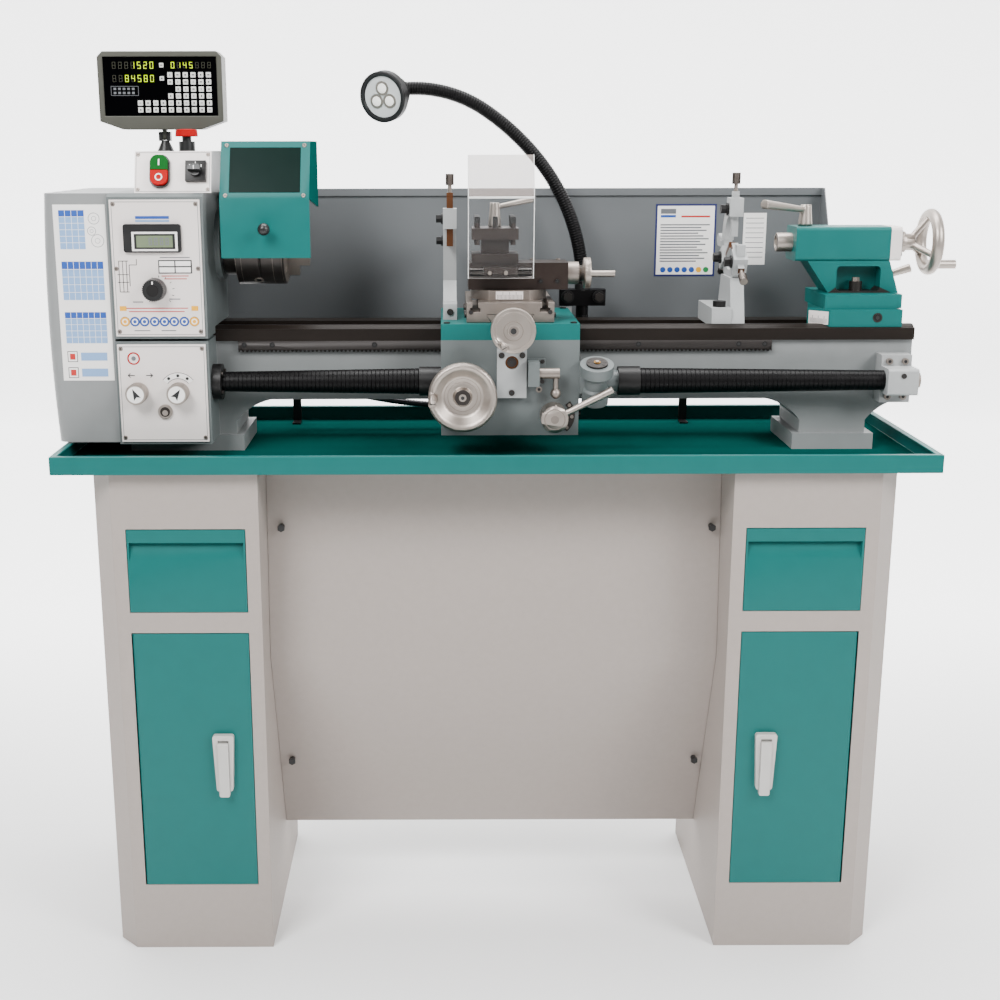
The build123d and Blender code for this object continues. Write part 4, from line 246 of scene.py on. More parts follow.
class Piece:
    """A mesh in millimetres that gathers simple solids and then rides on a body."""

    def __init__(self, name, body):
        self.name, self.body, self.mesh, self.materials = name, body, bmesh.new(), []

    def paint(self, faces, material):
        if material not in self.materials:
            self.materials.append(material)
        for face in faces:
            face.material_index = self.materials.index(material)

    def grow(self, make, material, place, **sizes):
        before = set(self.mesh.faces)
        made = make(self.mesh, matrix=place, **sizes)
        self.paint([f for f in self.mesh.faces if f not in before], material)
        return made["verts"]

    def box(self, x, y, z, material, place=HERE, edge=0.0):
        middle = Vector([(a + b) / 2 for a, b in (x, y, z)])
        size = Matrix.Diagonal([abs(b - a) for a, b in (x, y, z)] + [1])
        made = self.grow(bmesh.ops.create_cube, material, place @ Matrix.Translation(middle) @ size, size=1.0)
        if edge:
            edges = {e for v in made for e in v.link_edges}
            before = set(self.mesh.faces)
            bmesh.ops.bevel(self.mesh, geom=list(edges), offset=edge, segments=2, affect="EDGES", profile=0.6)
            self.paint([f for f in self.mesh.faces if f not in before], material)

    def rod(self, axis, start, length, radius, material, end=None, sides=28, place=HERE):
        turn = place @ Matrix.Translation(start) @ TURN[axis] @ Matrix.Translation((0, 0, length / 2))
        self.grow(bmesh.ops.create_cone, material, turn, cap_ends=True, segments=sides,
                  radius1=radius, radius2=radius if end is None else end, depth=length)

    def ring(self, axis, centre, radius, thick, material, sides=40, place=HERE,
             around=8, flat=1.0):
        """A ring of round section; flat squeezes the section along the axis."""
        turn = place @ Matrix.Translation(centre) @ TURN[axis]
        loops = []
        for i in range(sides):
            a = 2 * pi * i / sides
            loop = []
            for j in range(around):
                b = 2 * pi * j / around
                r = radius + thick * cos(b)
                point = Vector((r * cos(a), r * sin(a), thick * flat * sin(b)))
                loop.append(self.mesh.verts.new(turn @ point))
            loops.append(loop)
        faces = []
        for i in range(sides):
            for j in range(around):
                one, two = loops[i], loops[(i + 1) % sides]
                k = (j + 1) % around
                faces.append(self.mesh.faces.new((one[j], two[j], two[k], one[k])))
        self.paint(faces, material)

    def knurl(self, axis, start, length, radius, count, material, place=HERE):
        """Fine ridges round a knob."""
        width = 2 * pi * radius / count * 0.5
        for i in range(count):
            turn = place @ Matrix.Translation(start) @ TURN[axis]
            turn = turn @ Matrix.Rotation(2 * pi * i / count, 4, "Z")
            self.box((radius - 0.4, radius + 0.35), (-width / 2, width / 2), (0, length), material, turn)

    def dial(self, axis, start, length, radius, count, material, place=HERE):
        """Engraved graduations round a collar, each fifth one longer."""
        for i in range(count):
            turn = place @ Matrix.Translation(start) @ TURN[axis]
            turn = turn @ Matrix.Rotation(2 * pi * i / count, 4, "Z")
            reach = length if i % 5 == 0 else length * 0.6
            self.box((radius - 0.2, radius + 0.15), (-0.25, 0.25), (0, reach), material, turn)

    def cap_screw(self, axis, start, radius, height, material, place=HERE):
        """A socket head screw; its hexagon recess is a black hexagon of painted shade."""
        self.rod(axis, start, height, radius, material, sides=20, place=place)
        turn = place @ Matrix.Translation(start) @ TURN[axis]
        # Black hexagon: painted shade for the socket recess.
        self.rod("Z", (0, 0, height - 0.2), 0.35, radius * 0.55, INK_AND_SHADE, sides=6, place=turn)

    def pan_screw(self, axis, start, radius, material, place=HERE):
        """A low cross head screw; its cross slot is two black bars of painted shade."""
        self.rod(axis, start, 1.1, radius, material, end=radius * 0.75, sides=18, place=place)
        turn = place @ Matrix.Translation(start) @ TURN[axis]
        # Black cross: painted shade for the slot.
        self.box((-radius * 0.5, radius * 0.5), (-0.35, 0.35), (1.0, 1.25), INK_AND_SHADE, turn)
        self.box((-0.35, 0.35), (-radius * 0.5, radius * 0.5), (1.0, 1.25), INK_AND_SHADE, turn)

    def card(self, x, z, y, material, thick=0.3):
        """A printed field on a face that looks to the front."""
        self.box(x, (y - thick, y), z, material)

    def disc(self, x, z, y, radius, material, thick=0.3, sides=28):
        self.rod("-Y", (x, y, z), thick, radius, material, sides=sides)

    def line(self, start, end, width, y, material, thick=0.35):
        """A printed line between two (x, z) points on a front face."""
        run = Vector((end[0] - start[0], 0, end[1] - start[1]))
        place = Matrix.Translation((start[0], y, start[1])) @ Matrix.Rotation(-atan2(run.z, run.x), 4, "Y")
        self.box((0, run.length), (-thick, 0), (-width / 2, width / 2), material, place)

    def wedge(self, outline, thick, material, place=HERE):
        """A flat printed shape from (x, z) points that rises to the front."""
        near = [self.mesh.verts.new(place @ Vector((x, -thick, z))) for x, z in outline]
        far = [self.mesh.verts.new(place @ Vector((x, 0, z))) for x, z in outline]
        faces = [self.mesh.faces.new(near), self.mesh.faces.new(list(reversed(far)))]
        for i in range(len(near)):
            k = (i + 1) % len(near)
            faces.append(self.mesh.faces.new((near[k], near[i], far[i], far[k])))
        self.paint(faces, material)

    def done(self, angle=32, ride=True):
        """Turns the gathered solids into an object."""
        bmesh.ops.recalc_face_normals(self.mesh, faces=self.mesh.faces)
        data = bpy.data.meshes.new(self.name)
        self.mesh.to_mesh(data)
        self.mesh.free()
        data.transform(Matrix.Translation(ZERO) @ Matrix.Scale(0.001, 4))
        for material in self.materials:
            data.materials.append(material)
        made = bpy.data.objects.new(self.name, data)
        bpy.context.scene.collection.objects.link(made)
        data.shade_smooth()
        data.set_sharp_from_angle(angle=radians(angle))
        if ride:
            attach(made, self.body)
        return made


def leaning(middle, run):
    """A frame on a face that leans back: X along it, Y up its slope, Z out of it."""
    up = Vector((0, run[0], run[1])).normalized()
    turn = Matrix(((1, 0, 0), (0, up.y, -up.z), (0, up.z, up.y)))
    return Matrix.Translation(middle) @ turn.to_4x4()


def share(span, part):
    """The place that lies the given part of the way along a span."""
    return span[0] + (span[1] - span[0]) * part


def band(angles, outer, inner):
    """The outline of a flat ring's stretch over the given angles."""
    return ([(outer * cos(a), outer * sin(a)) for a in angles]
            + [(inner * cos(a), inner * sin(a)) for a in reversed(angles)])


# Surfaces of the CAD nodes: first those of one surface, with the edge's bevel

for material, bevel, names in (
    (STAND, 1.0, "left_cabinet right_cabinet rear_panel"),
    (TEAL, 0.8, "left_drawer right_drawer"),
    (LATCH, 0.8, "left_latch_lever right_latch_lever"),
    (RACK, 0, "rack"),
    (GREY, 1.2, "headstock"),
    (COVER, 1.0, "gear_cover"),
    (BLACKED, 0.5, "drive_motor"),
    (GREEN, 1.2, "start_button"),
    (RED, 1.2, "stop_button"),
    (BLACK, 0.6, "direction_switch"),
    (BLACK, 0.5, "speed_knob"),
    (BLACK, 0.4, "readout_arm"),
    (TINT, 0.3, "guard_window"),
    (DARK, 0.5, "spindle"),
    (DARK, 0.3, "thread_dial"),
    (CAST, 0.8, "leadscrew_bracket"),
    (STEEL, 0.3, "leadscrew feed_lever"),
    (STEEL, 0.7, "cross_slide swivel_base"),
    (BROWN, 0.7, "tool_post"),
    (BRIGHT, 0.6, "feed_direction_knob feed_range_knob"),
    (BRIGHT, 0, "apron_handwheel cross_handwheel top_slide_handwheel tailstock_handwheel half_nut_lever"),
    (BRIGHT, 0, "quill tool_post_lever quill_lock_lever tailstock_clamp_lever"),
):
    for name in names.split():
        dress(name, material, bevel=bevel)

# Then those of several; the numbers in a rule are places on that node

for name in ("left_door", "right_door"):
    dress(name, TEAL, [(LATCH, lambda low, high, n: low.y < 19)], bevel=0.8)
# The tray floor's upward faces take the darker teal as painted reflection.
dress("chip_tray", TEAL, [(TEAL_PAINTED_SHADE, lambda low, high, n: low.z < 782 and n.z > 0.9)], bevel=1.2)
dress("bed", BED, [(WAYS, lambda low, high, n: low.z > 951)], bevel=1.0)
dress("feed_gearbox", GREY, [(BLACKED, lambda low, high, n: low.x > -426.5 and high.x > -425)], bevel=1.0)
plates_low, plates_high = limits("front_plates")
dress("front_plates", PLATE, [(BLACK, lambda low, high, n: low.y < 86.5 and low.z > 1000),
                              (BRIGHT, lambda low, high, n: low.y < 86.5 and high.z < 900)], bevel=0.5)
PANEL = leaning((-471, 114, 1205.5), (20, 59))


def off_panel(low, high):
    """How far a face stands off the control box's leaning front."""
    return (PANEL.inverted() @ ((low + high) / 2)).z


dress("control_box", GREY, [
    (PLATE, lambda low, high, n: abs(off_panel(low, high)) < 0.3 and n.y < -0.8),
    (BLACK, lambda low, high, n: low.z > 1234.5 and high.z > 1236 or off_panel(low, high) > 0.3),
], bevel=0.5)
dress("emergency_stop", RED, [(BLACK, lambda low, high, n: high.z < 1256.5)], bevel=0.6)
dress("readout_console", OLIVE, [
    (SCREEN, lambda low, high, n: n.y < -0.9 and low.y > 238 and low.z > 1280),
], bevel=1.0)
# The chuck body is dark steel and partly painted shade: its dark tone also stands for the shade under the
# chuck guard.
dress("chuck", DARK, [(STEEL, lambda low, high, n: low.x > -322)], bevel=0.6)
# The guard's right side faces take the darker teal as painted shade.
dress("chuck_guard", TEAL, [(TEAL_PAINTED_SHADE, lambda low, high, n: n.x > 0.9 and high.y - low.y > 4),
                            (BLACK, lambda low, high, n: high.y < 99.5)], bevel=0.8, smooth=18)
dress("saddle", TEAL, [(STEEL, lambda low, high, n: low.z > 984.9 and high.z > 985.5)], bevel=1.0)
dress("apron", GREY, [
    (BLACKED, lambda low, high, n: high.x < -80.9 and low.x < -81.5),
    (BLACKED, lambda low, high, n: low.x > 186),
    (CAST, lambda low, high, n: high.y < 95.1 and low.y < 94 and high.x < 48 and low.x > 0),
    (BRASS, lambda low, high, n: 84 < low.y < 90 and 915 < low.z and high.z < 945 and high.x < 40),
], bevel=0.9)
dress("top_slide", BROWN, [(STEEL, lambda low, high, n: low.x > 111.2 or low.z > 1072)], bevel=0.7)
dress("tool_guard", CLEAR, [
    (CLEAR_TOP, lambda low, high, n: low.z > 1167),
    # Side and bottom edge faces of the sheet take painted highlight.
    (CLEAR_EDGE_HIGHLIGHT, lambda low, high, n: abs(n.x) > 0.9 or n.z < -0.9),
    (DARK, lambda low, high, n: high.z < 1066 and low.y > 118.8),
], bevel=0)
dress("follow_rest", CAST, [
    (BRONZE, lambda low, high, n: low.x > FOLLOW_X - 6 and high.x < FOLLOW_X + 6
     and AXIS_Y - 6 < low.y and high.y < AXIS_Y + 6 and high.z < 1172.5),
    (BRONZE, lambda low, high, n: low.x > FOLLOW_X - 6 and high.x < FOLLOW_X + 6
     and AXIS_Z - 6 < low.z and high.z < AXIS_Z + 6 and low.y > 249),
    (STEEL, lambda low, high, n: low.z > 1171 or low.y > 315.5),
], bevel=0.8)


def from_axis(point):
    """How far a point lies from the spindle's axis."""
    return ((point.y - AXIS_Y) ** 2 + (point.z - AXIS_Z) ** 2) ** 0.5


for name in ("steady_rest", "steady_rest_top"):
    dress(name, CAST, [
        (BLACKED, lambda low, high, n: high.x < 362 and low.z > 990 and high.z < 1040
         and low.y > 186.5 and high.y < 207.5),
        (BRONZE, lambda low, high, n: low.x > STEADY_X - 5.5 and high.x < STEADY_X + 5.5
         and high.x - low.x < 10.5 and max(from_axis(low), from_axis(high)) > 5
         and (from_axis((low + high) / 2) < 41.5 or 68.5 < from_axis((low + high) / 2) < 79)),
        (STEEL, lambda low, high, n: min(from_axis(low), from_axis(high)) > 77 and high.z > 1040
         and low.x > STEADY_X - 6.5 and high.x < STEADY_X + 6.5),
    ], bevel=0.8)
dress("tailstock", TEAL, [
    (PLATE, lambda low, high, n: low.x > 611.9 and low.z > 1067.5),
    (DARK, lambda low, high, n: low.y > 204 and high.y < 234 and 1018 < low.z and high.z < 1037),
], bevel=1.2)
dress("splash_guard", SPLASH, [
    (BLACKED, lambda low, high, n: high.z < 861 and high.x - low.x < 15),
], bevel=0.5)
dress("work_lamp", RUBBER, [
    (CAST, lambda low, high, n: low.x > 112 and high.x < 133 and high.z < 988.5 and high.y < NECK_Y + 0.5),
], bevel=0.5)

# Screws of the stand's panel

panel_bolts = Piece("panel_bolts", ROOT)
for x, y, z in ((-328, 113, 671), (-330, 181, 253), (336, 113, 670), (336, 181, 253)):
    panel_bolts.rod("-Y", (x, y, z), 14, 4.5, BLACK, sides=20)
    panel_bolts.rod("-Y", (x, y - 10, z), 5, 6, BLACK, sides=6)
panel_bolts.done()

# Rack screws

rack_screws = Piece("rack_screws", ROOT)
for x in (-383, -340, -183, 222, 376, 416):
    rack_screws.cap_screw("-Y", (x, 160, 946), 4.2, 0.3, BLACKED)
rack_screws.done()

# Front plates

plate_x = (plates_low.x, plates_high.x)
upper_z = (969, 1167)
lower_z = (810, 957)
plate_y = 87.0
prints = Piece("plate_prints", ROOT)


def upper(u, v):
    """A place on the upper plate, from its place in the photograph's pixels."""
    return share(plate_x, (u - 111) / 95.6), share(upper_z, (336.5 - v) / 141)


def lower(u, v):
    """A place on the lower plate, from its place in the photograph's pixels."""
    return share(plate_x, (u - 111.7) / 98.3), share(lower_z, (443.4 - v) / 101.4)


def field(place, left, top, right, bottom, y, material, thick=0.3):
    """A printed field between two corners on a plate."""
    x0, z1 = place(left, top)
    x1, z0 = place(right, bottom)
    prints.card((x0, x1), (z0, z1), y, material, thick)


for u, v in ((115, 200), (202.5, 200), (115, 266), (202.5, 266), (115, 331.5), (202.5, 331.5)):
    x, z = upper(u, v)
    prints.pan_screw("-Y", (x, plate_y, z), 3.4, STEEL)
for u, v in ((115.5, 346.5), (206, 346.5), (115.5, 439), (206, 439)):
    x, z = lower(u, v)
    prints.pan_screw("-Y", (x, plate_y, z), 3.4, STEEL)
for place, left, top, right, bottom in ((upper, 113, 197.5, 204.8, 334.8),
                                        (lower, 113.6, 344.2, 208.2, 441.6)):
    for edge in ((left, top, right, top + 0.5), (left, bottom - 0.5, right, bottom),
                 (left, top, left + 0.5, bottom), (right - 0.5, top, right, bottom)):
        field(place, *edge, plate_y, PALE_INK, 0.2)
field(upper, 138, 212, 174, 215, plate_y, BLUE)
field(upper, 138, 216, 174, 218, plate_y, PALE_BLUE)
for left, right, v in ((122, 190, 306.5), (126, 186, 310), (163, 192, 273), (166, 190, 276)):
    field(upper, left, v, right, v + 1, plate_y, RED_PRINT, 0.2)
for left, right, v in ((162, 194, 254), (170, 182, 297), (131, 142, 300), (131, 148, 330), (160, 176, 330)):
    field(upper, left, v, right, v + 1, plate_y, PALE_INK, 0.2)
bezel_y = limits("front_plates")[0].y
field(upper, 134, 228, 182.5, 247.5, bezel_y, WHITE, 0.6)
field(upper, 136.5, 230, 180, 245.5, bezel_y - 0.5, BLACK, 0.4)
field(upper, 139, 231.8, 177.5, 243.8, bezel_y - 0.8, LCD, 0.4)
for i in range(4):
    field(upper, 152 + i * 6, 234, 155.5 + i * 6, 241.5, bezel_y - 1.1, PALE_INK, 0.2)
    field(upper, 153 + i * 6, 235.2, 154.5 + i * 6, 237.2, bezel_y - 1.2, LCD, 0.2)
    field(upper, 153 + i * 6, 238.4, 154.5 + i * 6, 240.4, bezel_y - 1.2, LCD, 0.2)
field(upper, 160, 257, 196, 271, plate_y, INK_AND_SHADE)
for column in range(2):
    field(upper, 161.2 + column * 17.4, 258.2, 177.2 + column * 17.4, 263.2, plate_y - 0.2, WHITE)
    field(upper, 161.2 + column * 17.4, 264.6, 177.2 + column * 17.4, 269.8, plate_y - 0.2, WHITE)
for start, end in (((118, 258), (118, 290)), ((122, 258), (122, 290)), ((126, 258), (126, 290)),
                   ((118, 258), (128, 258)), ((116, 272), (128, 272)), ((116, 280), (128, 280)),
                   ((118, 290), (128, 290)), ((129, 262), (137, 262)), ((137, 262), (137, 256)),
                   ((129, 262), (129, 284))):
    prints.line(upper(*start), upper(*end), 0.9, plate_y, INK_AND_SHADE)
knob_x, knob_z = upper(160, 289)
for i in range(11):
    a = radians(225 - i * 27)
    near, far = ((knob_x + r * cos(a), knob_z + r * sin(a)) for r in (19.5, 22.5))
    prints.line(near, far, 0.9, plate_y, INK_AND_SHADE)
for i, u in enumerate((121.4, 132, 142.3, 153.2, 163.8, 174.3, 185.2, 196)):
    x, z = upper(u, 321)
    colour = YELLOW if i in (0, 7) else BLUE
    prints.disc(x, z, plate_y, 7.2, INK_AND_SHADE)
    prints.disc(x, z, plate_y - 0.2, 6.7, colour)
    prints.disc(x, z, plate_y - 0.4, 4.4, WHITE, sides=20)
    prints.disc(x, z, plate_y - 0.6, 2.6, colour, sides=16)
for u in (120, 197):
    x, z = upper(u, 306.5)
    prints.card((x - 5, x + 5), (z - 4.5, z + 2.5), plate_y, YELLOW)

# Lower plate

x, z = lower(129.4, 356.5)
prints.ring("Y", (x, plate_y, z), 8.4, 1.2, RED, flat=0.3)
prints.disc(x, z, plate_y, 3.4, PALE_INK, 0.25)
for u, v in ((126, 374), (146, 374)):
    x, z = lower(u, v)
    prints.line((x - 5, z), (x + 5, z), 1.2, plate_y, INK_AND_SHADE)
    way = 1 if u > 130 else -1
    prints.line((x + way * 5, z), (x + way * 1.5, z + 3), 1.2, plate_y, INK_AND_SHADE)
    prints.line((x + way * 5, z), (x + way * 1.5, z - 3), 1.2, plate_y, INK_AND_SHADE)
range_x, range_z = lower(177.8, 391)
for i in range(3):
    arc = [radians(142 - i * 34.7 - k * 8.67) for k in range(5)]
    centre = Matrix.Translation((range_x, plate_y, range_z))
    prints.wedge(band(arc, 29, 19.5), 0.25, INK_AND_SHADE, centre)
    prints.wedge(band(arc, 28.2, 20.3), 0.4, WHITE, centre)
    a = arc[2]
    x, z = range_x + 24.2 * cos(a), range_z + 24.2 * sin(a)
    prints.disc(x, z, plate_y - 0.35, 2.4, INK_AND_SHADE, sides=16)
plug_x, plug_z = -494, 856
prints.ring("Y", (plug_x, 84, plug_z), 9, 1.2, BRIGHT, flat=0.6)
prints.disc(plug_x, plug_z, 84, 7.4, DARK, 0.4)
prints.disc(plug_x, plug_z - 1.5, 83.6, 4.2, BRIGHT, 0.3)

# Label sheet on the end cover

cover_y = limits("gear_cover")[0].y
prints.card((-645, -569), (902, 1160), cover_y, WHITE)
for x0, x1, z0, z1, rows, columns in ((-637, -600, 1096, 1152, 6, 4), (-637, -576, 1022, 1078, 5, 7),
                                      (-637, -576, 958, 1004, 5, 7)):
    prints.card((x0, x1), (z0, z1), cover_y - 0.25, PALE_BLUE)
    prints.card((x0, x1), (z1 - (z1 - z0) / rows, z1), cover_y - 0.4, BLUE)
    for i in range(1, rows):
        z = z1 - (z1 - z0) * i / rows
        prints.card((x0, x1), (z - 0.3, z + 0.3), cover_y - 0.45, WHITE)
    for i in range(1, columns):
        x = x0 + (x1 - x0) * i / columns
        prints.card((x - 0.3, x + 0.3), (z0, z1), cover_y - 0.45, WHITE)
for x, z, r in ((-586, 1140, 8), (-590, 1122, 6), (-582, 1108, 9)):
    prints.ring("Y", (x, cover_y - 0.2, z), r, 0.5, PALE_INK, flat=0.4)
    prints.ring("Y", (x, cover_y - 0.2, z), r * 0.4, 0.4, PALE_INK, flat=0.4)
for z in (938, 914):
    prints.card((-637, -622), (z - 8, z + 8), cover_y - 0.25, INK_AND_SHADE)
    prints.card((-636, -623), (z - 7, z + 7), cover_y - 0.4, WHITE)
    prints.card((-633.5, -625.5), (z - 4.5, z + 4.5), cover_y - 0.45, RED_PRINT)
    prints.card((-617, -578), (z - 6, z + 6), cover_y - 0.25, PALE_BLUE)
prints.done()

# Knob marks

for body, angle in (("feed_direction_knob", 115), ("feed_range_knob", 55)):
    low, high = limits(body)
    mark = Piece(body + "_mark", body)
    x, z = (low.x + high.x) / 2, (low.z + high.z) / 2
    mark.rod("-Y", (x, low.y, z), 0.2, 12.5, WHITE)
    turn = Matrix.Translation((x, low.y - 0.2, z)) @ Matrix.Rotation(radians(-angle), 4, "Y")
    mark.wedge(((10, 0), (-7, 5.6), (-4, 0), (-7, -5.6)), 0.25, INK_AND_SHADE, turn)
    mark.knurl("Y", (x, low.y + 2, z), 16, 15.3, 48, BRIGHT)
    mark.done()
low, high = limits("speed_knob")
mark = Piece("speed_knob_mark", "speed_knob")
x, z = (low.x + high.x) / 2, (low.z + high.z) / 2
mark.box((x - 1, x + 1), (low.y - 0.3, low.y), (z, z + 13), WHITE)
mark.rod("-Y", (x, low.y, z), 0.5, 9, BLACKED)
mark.knurl("Y", (x, low.y + 1, z), 14, 15.6, 30, BLACK)
mark.done()

# Control box face and buttons

front = Piece("control_face", ROOT)
for x in (-51, 51):
    for y in (-26, 26):
        front.pan_screw("Z", (x, y, 0), 3.0, STEEL, PANEL)
for x0, x1, y0, y1 in ((-54, 54, 28.6, 29.2), (-54, 54, -29.2, -28.6),
                       (-54, -53.4, -29, 29), (53.4, 54, -29, 29)):
    front.box((x0, x1), (y0, y1), (0, 0.2), PALE_INK, PANEL)
front.box((19, 49), (-15, 15), (7, 7.5), BLACKED, PANEL, 0.2)
for angle in (-50, 0, 50):
    a = radians(90 + angle)
    x, y = 34 + 11 * cos(a), 11 * sin(a)
    front.box((x - 0.6, x + 0.6), (y - 2, y + 2), (7.5, 7.7), WHITE, PANEL)
front.done()
start_mark = Piece("start_mark", "start_button")
start_mark.box((-19.4, -17.6), (6.5, 15.5), (12, 12.4), WHITE, PANEL)
start_mark.done()
stop_mark = Piece("stop_mark", "stop_button")
stop_mark.ring("Z", (-18.5, -11, 12), 4.6, 0.9, WHITE, place=PANEL, flat=0.4)
stop_mark.done()
switch_mark = Piece("switch_mark", "direction_switch")
switch_mark.box((33.4, 34.6), (-2.6, 2.6), (23.2, 23.5), WHITE, PANEL)
switch_mark.done()

# Readout face

low, high = limits("readout_console")
readout = Piece("readout_keys", "readout_console")
face_y = low.y + 2
span_x = (low.x + 8, high.x - 8)
span_z = (high.z - 95, high.z - 8)


def readout_place(u, v):
    """A place on the readout's face, from its place in the photograph's pixels."""
    return share(span_x, (u - 106) / 112.3), share(span_z, (116.7 - v) / 60.4)


SEGMENTS = {"0": "abcdef", "1": "bc", "2": "abged", "4": "fgbc", "5": "afgcd", "8": "abcdefg"}


def digit(letter, u, v, width, height):
    """A seven-bar figure, with its dark bars unlit."""
    x, z = readout_place(u, v)
    w, h, t = width / 2, height / 2, 0.75
    bars = {"a": ((-w, w), (h - t, h)), "d": ((-w, w), (-h, -h + t)), "g": ((-w, w), (-t / 2, t / 2)),
            "f": ((-w, -w + t), (0, h)), "b": ((w - t, w), (0, h)),
            "e": ((-w, -w + t), (-h, 0)), "c": ((w - t, w), (-h, 0))}
    for name, (across, up) in bars.items():
        colour = DIGIT if name in SEGMENTS.get(letter, "") else UNLIT
        readout.card((x + across[0], x + across[1]), (z + up[0], z + up[1]), face_y, colour, 0.25)


KEY_MARKS = ((1.6, 0.5), (0.5, 1.5), (1.2, 1.2), (0.9, 1.6), (1.8, 0.9))


def key(u, v, half):
    """A raised key with a small plain mark."""
    x, z = readout_place(u, v)
    readout.box((x - half, x + half), (face_y - 1.2, face_y), (z - half, z + half), KEY, edge=0.6)
    wide, tall = KEY_MARKS[int(u + v) % len(KEY_MARKS)]
    readout.card((x - wide, x + wide), (z - tall, z + tall), face_y - 1.1, INK_AND_SHADE, 0.2)


for text, v in (("   1520", 65), ("  84580", 78.4)):
    for i, letter in enumerate(text):
        digit(letter, 117 + i * 6.2, v, 5.2, 10)
for i in range(7):
    digit("0145"[i] if i < 4 else "", 175 + i * 6, 65, 5, 9)
for v in (65, 78.4):
    key(164, v, 3.2)
for v, columns in ((74.8, 6), (82, 6), (89.3, 5), (96.3, 6), (103.4, 10), (110.4, 10)):
    for column in range(columns):
        key(210 - column * 7.6, v, 3.8)
x, z = readout_place(126.7, 91)
readout.card((x - 21, x + 21), (z - 7, z + 7), face_y, PALE_INK, 0.25)
readout.card((x - 20.4, x + 20.4), (z - 6.4, z + 6.4), face_y, SCREEN, 0.3)
for i in range(5):
    left = x - 17 + i * 7
    for rise in (-3, 3):
        readout.card((left, left + 4), (z + rise - 1.6, z + rise + 1.6), face_y, PALE_INK, 0.4)
readout.done()

# Chuck guard screws and pivot

GUARD = leaning((-337.5, 120, 1208), (40, 82))
guard = Piece("guard_trim", "chuck_guard")
for x in (-57, 57):
    for y in (-40, 39):
        guard.pan_screw("Z", (x, y, 0), 3.4, STEEL, GUARD)
guard.rod("X", (-403, 262, 1165), -3, 11, STEEL)
guard.done()

# Chuck details

chuck = Piece("chuck_details", "spindle")
for i in range(3):
    hole = Matrix.Translation((-362, AXIS_Y, AXIS_Z)) @ Matrix.Rotation(radians(30 + i * 120), 4, "X")
    chuck.rod("Z", (0, 0, 61.6), 1.2, 7.5, BRIGHT, place=hole)
    # The key socket is a black square of painted shade.
    chuck.box((-3.4, 3.4), (-3.4, 3.4), (62.5, 63), INK_AND_SHADE, hole)
    bolt = Matrix.Translation((-321, AXIS_Y, AXIS_Z)) @ Matrix.Rotation(radians(30 + i * 120), 4, "X")
    chuck.cap_screw("X", (-0.2, 0, 46), 5, 1.4, STEEL, bolt)
for x in (-394.5, -386, -338, -324):
    chuck.ring("X", (x, AXIS_Y, AXIS_Z), 62.4, 0.35, STEEL, sides=64)
chuck.done()

# Leadscrew flange screws

flange = Piece("leadscrew_flange_screws", ROOT)
for i in range(4):
    a = radians(45 + i * 90)
    flange.cap_screw("X", (-412, SCREW_Y + 20 * cos(a), SCREW_Z + 20 * sin(a)), 3.6, 3, DARK)
for z in (868, 922):
    flange.cap_screw("-Y", (602, 138, z), 5, 5, STEEL)
    flange.cap_screw("-Y", (626, 138, z), 5, 5, STEEL)
flange.cap_screw("-Y", (614, 99, 905), 4, 2, DARK)
flange.done()


def spiral(name, node, start, end, small, large, turns):
    """A coiled strip cover in overlapping turns."""
    piece = Piece(name, None)
    step = (end - start) / turns
    sides = 40
    rows = []

    def row(x, r):
        angles = [2 * pi * k / sides for k in range(sides)]
        rows.append([piece.mesh.verts.new((x, SCREW_Y + r * cos(a), SCREW_Z + r * sin(a))) for a in angles])

    for i in range(turns):
        radius = small + (large - small) * i / (turns - 1)
        for passed, r in ((0.0, radius + 0.55), (0.82, radius + 0.4), (0.96, radius - 0.25)):
            row(start + (i + passed) * step, r)
    row(end, large)
    faces = []
    for one, two in zip(rows, rows[1:]):
        for k in range(sides):
            faces.append(piece.mesh.faces.new((one[k], two[k], two[(k + 1) % sides], one[(k + 1) % sides])))
    for ends in (rows[0], rows[-1]):
        faces.append(piece.mesh.faces.new(ends))
    piece.paint(faces, RUBBER)
    made = piece.done(angle=20, ride=False)
    at(start, SCREW_Y, SCREW_Z)
    at(end, SCREW_Y, SCREW_Z)
    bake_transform(made)
    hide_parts(node)


left_low, left_high = limits("left_spiral_cover")
right_low, right_high = limits("right_spiral_cover")
COVER_SMALL, COVER_LARGE = 14.6, 19.0
spiral("left_cover_turns", "left_spiral_cover", left_low.x, left_high.x, COVER_SMALL, COVER_LARGE, 46)
spiral("right_cover_turns", "right_spiral_cover", right_high.x, right_low.x, COVER_SMALL, COVER_LARGE, 54)

# Carriage details

trim = Piece("apron_trim", "carriage")
for x, z in ((9, 940), (40, 940), (CROSS_X, 884)):
    trim.cap_screw("-Y", (x, 83, z), 4.5, 2.0, DARK)
trim.rod("-Y", (CROSS_X, 88.8, 929), 1.2, 9.5, BRONZE)
trim.rod("-Y", (CROSS_X, 87.8, 929), 1, 7, DARK)
trim.rod("-Y", (CROSS_X, 87, 929), 0.4, 2.4, INK_AND_SHADE)
sector = [radians(-50 + 10 * i) for i in range(10)]
trim.wedge(band(sector, 33, 24), 1.2, DARK, Matrix.Translation((NUT_X, 95, NUT_Z)))
for angle in (-42, -5, 32):
    a = radians(angle)
    trim.rod("-Y", (NUT_X + 28.5 * cos(a), 94, NUT_Z + 28.5 * sin(a)), 1.2, 2.6, STEEL)
trim.cap_screw("X", (126, 110, NUT_Z), 5, 4, DARK)
trim.cap_screw("X", (126, 130, 930), 5, 4, DARK)
trim.box((48.2, 75), (91.5, 95), (895.5, 934), GREY, edge=0.6)
for z in (929.5, 899.5):
    trim.cap_screw("-Y", (70.5, 91.5, z), 3.2, 1.0, DARK)
trim.cap_screw("-Y", (66, 95, 887), 4.6, 1.2, STEEL)
for x, y in ((-72, 105), (117, 105), (-72, 305), (117, 305)):
    trim.cap_screw("Z", (x, y, 985), 5, 2, DARK)
trim.done()

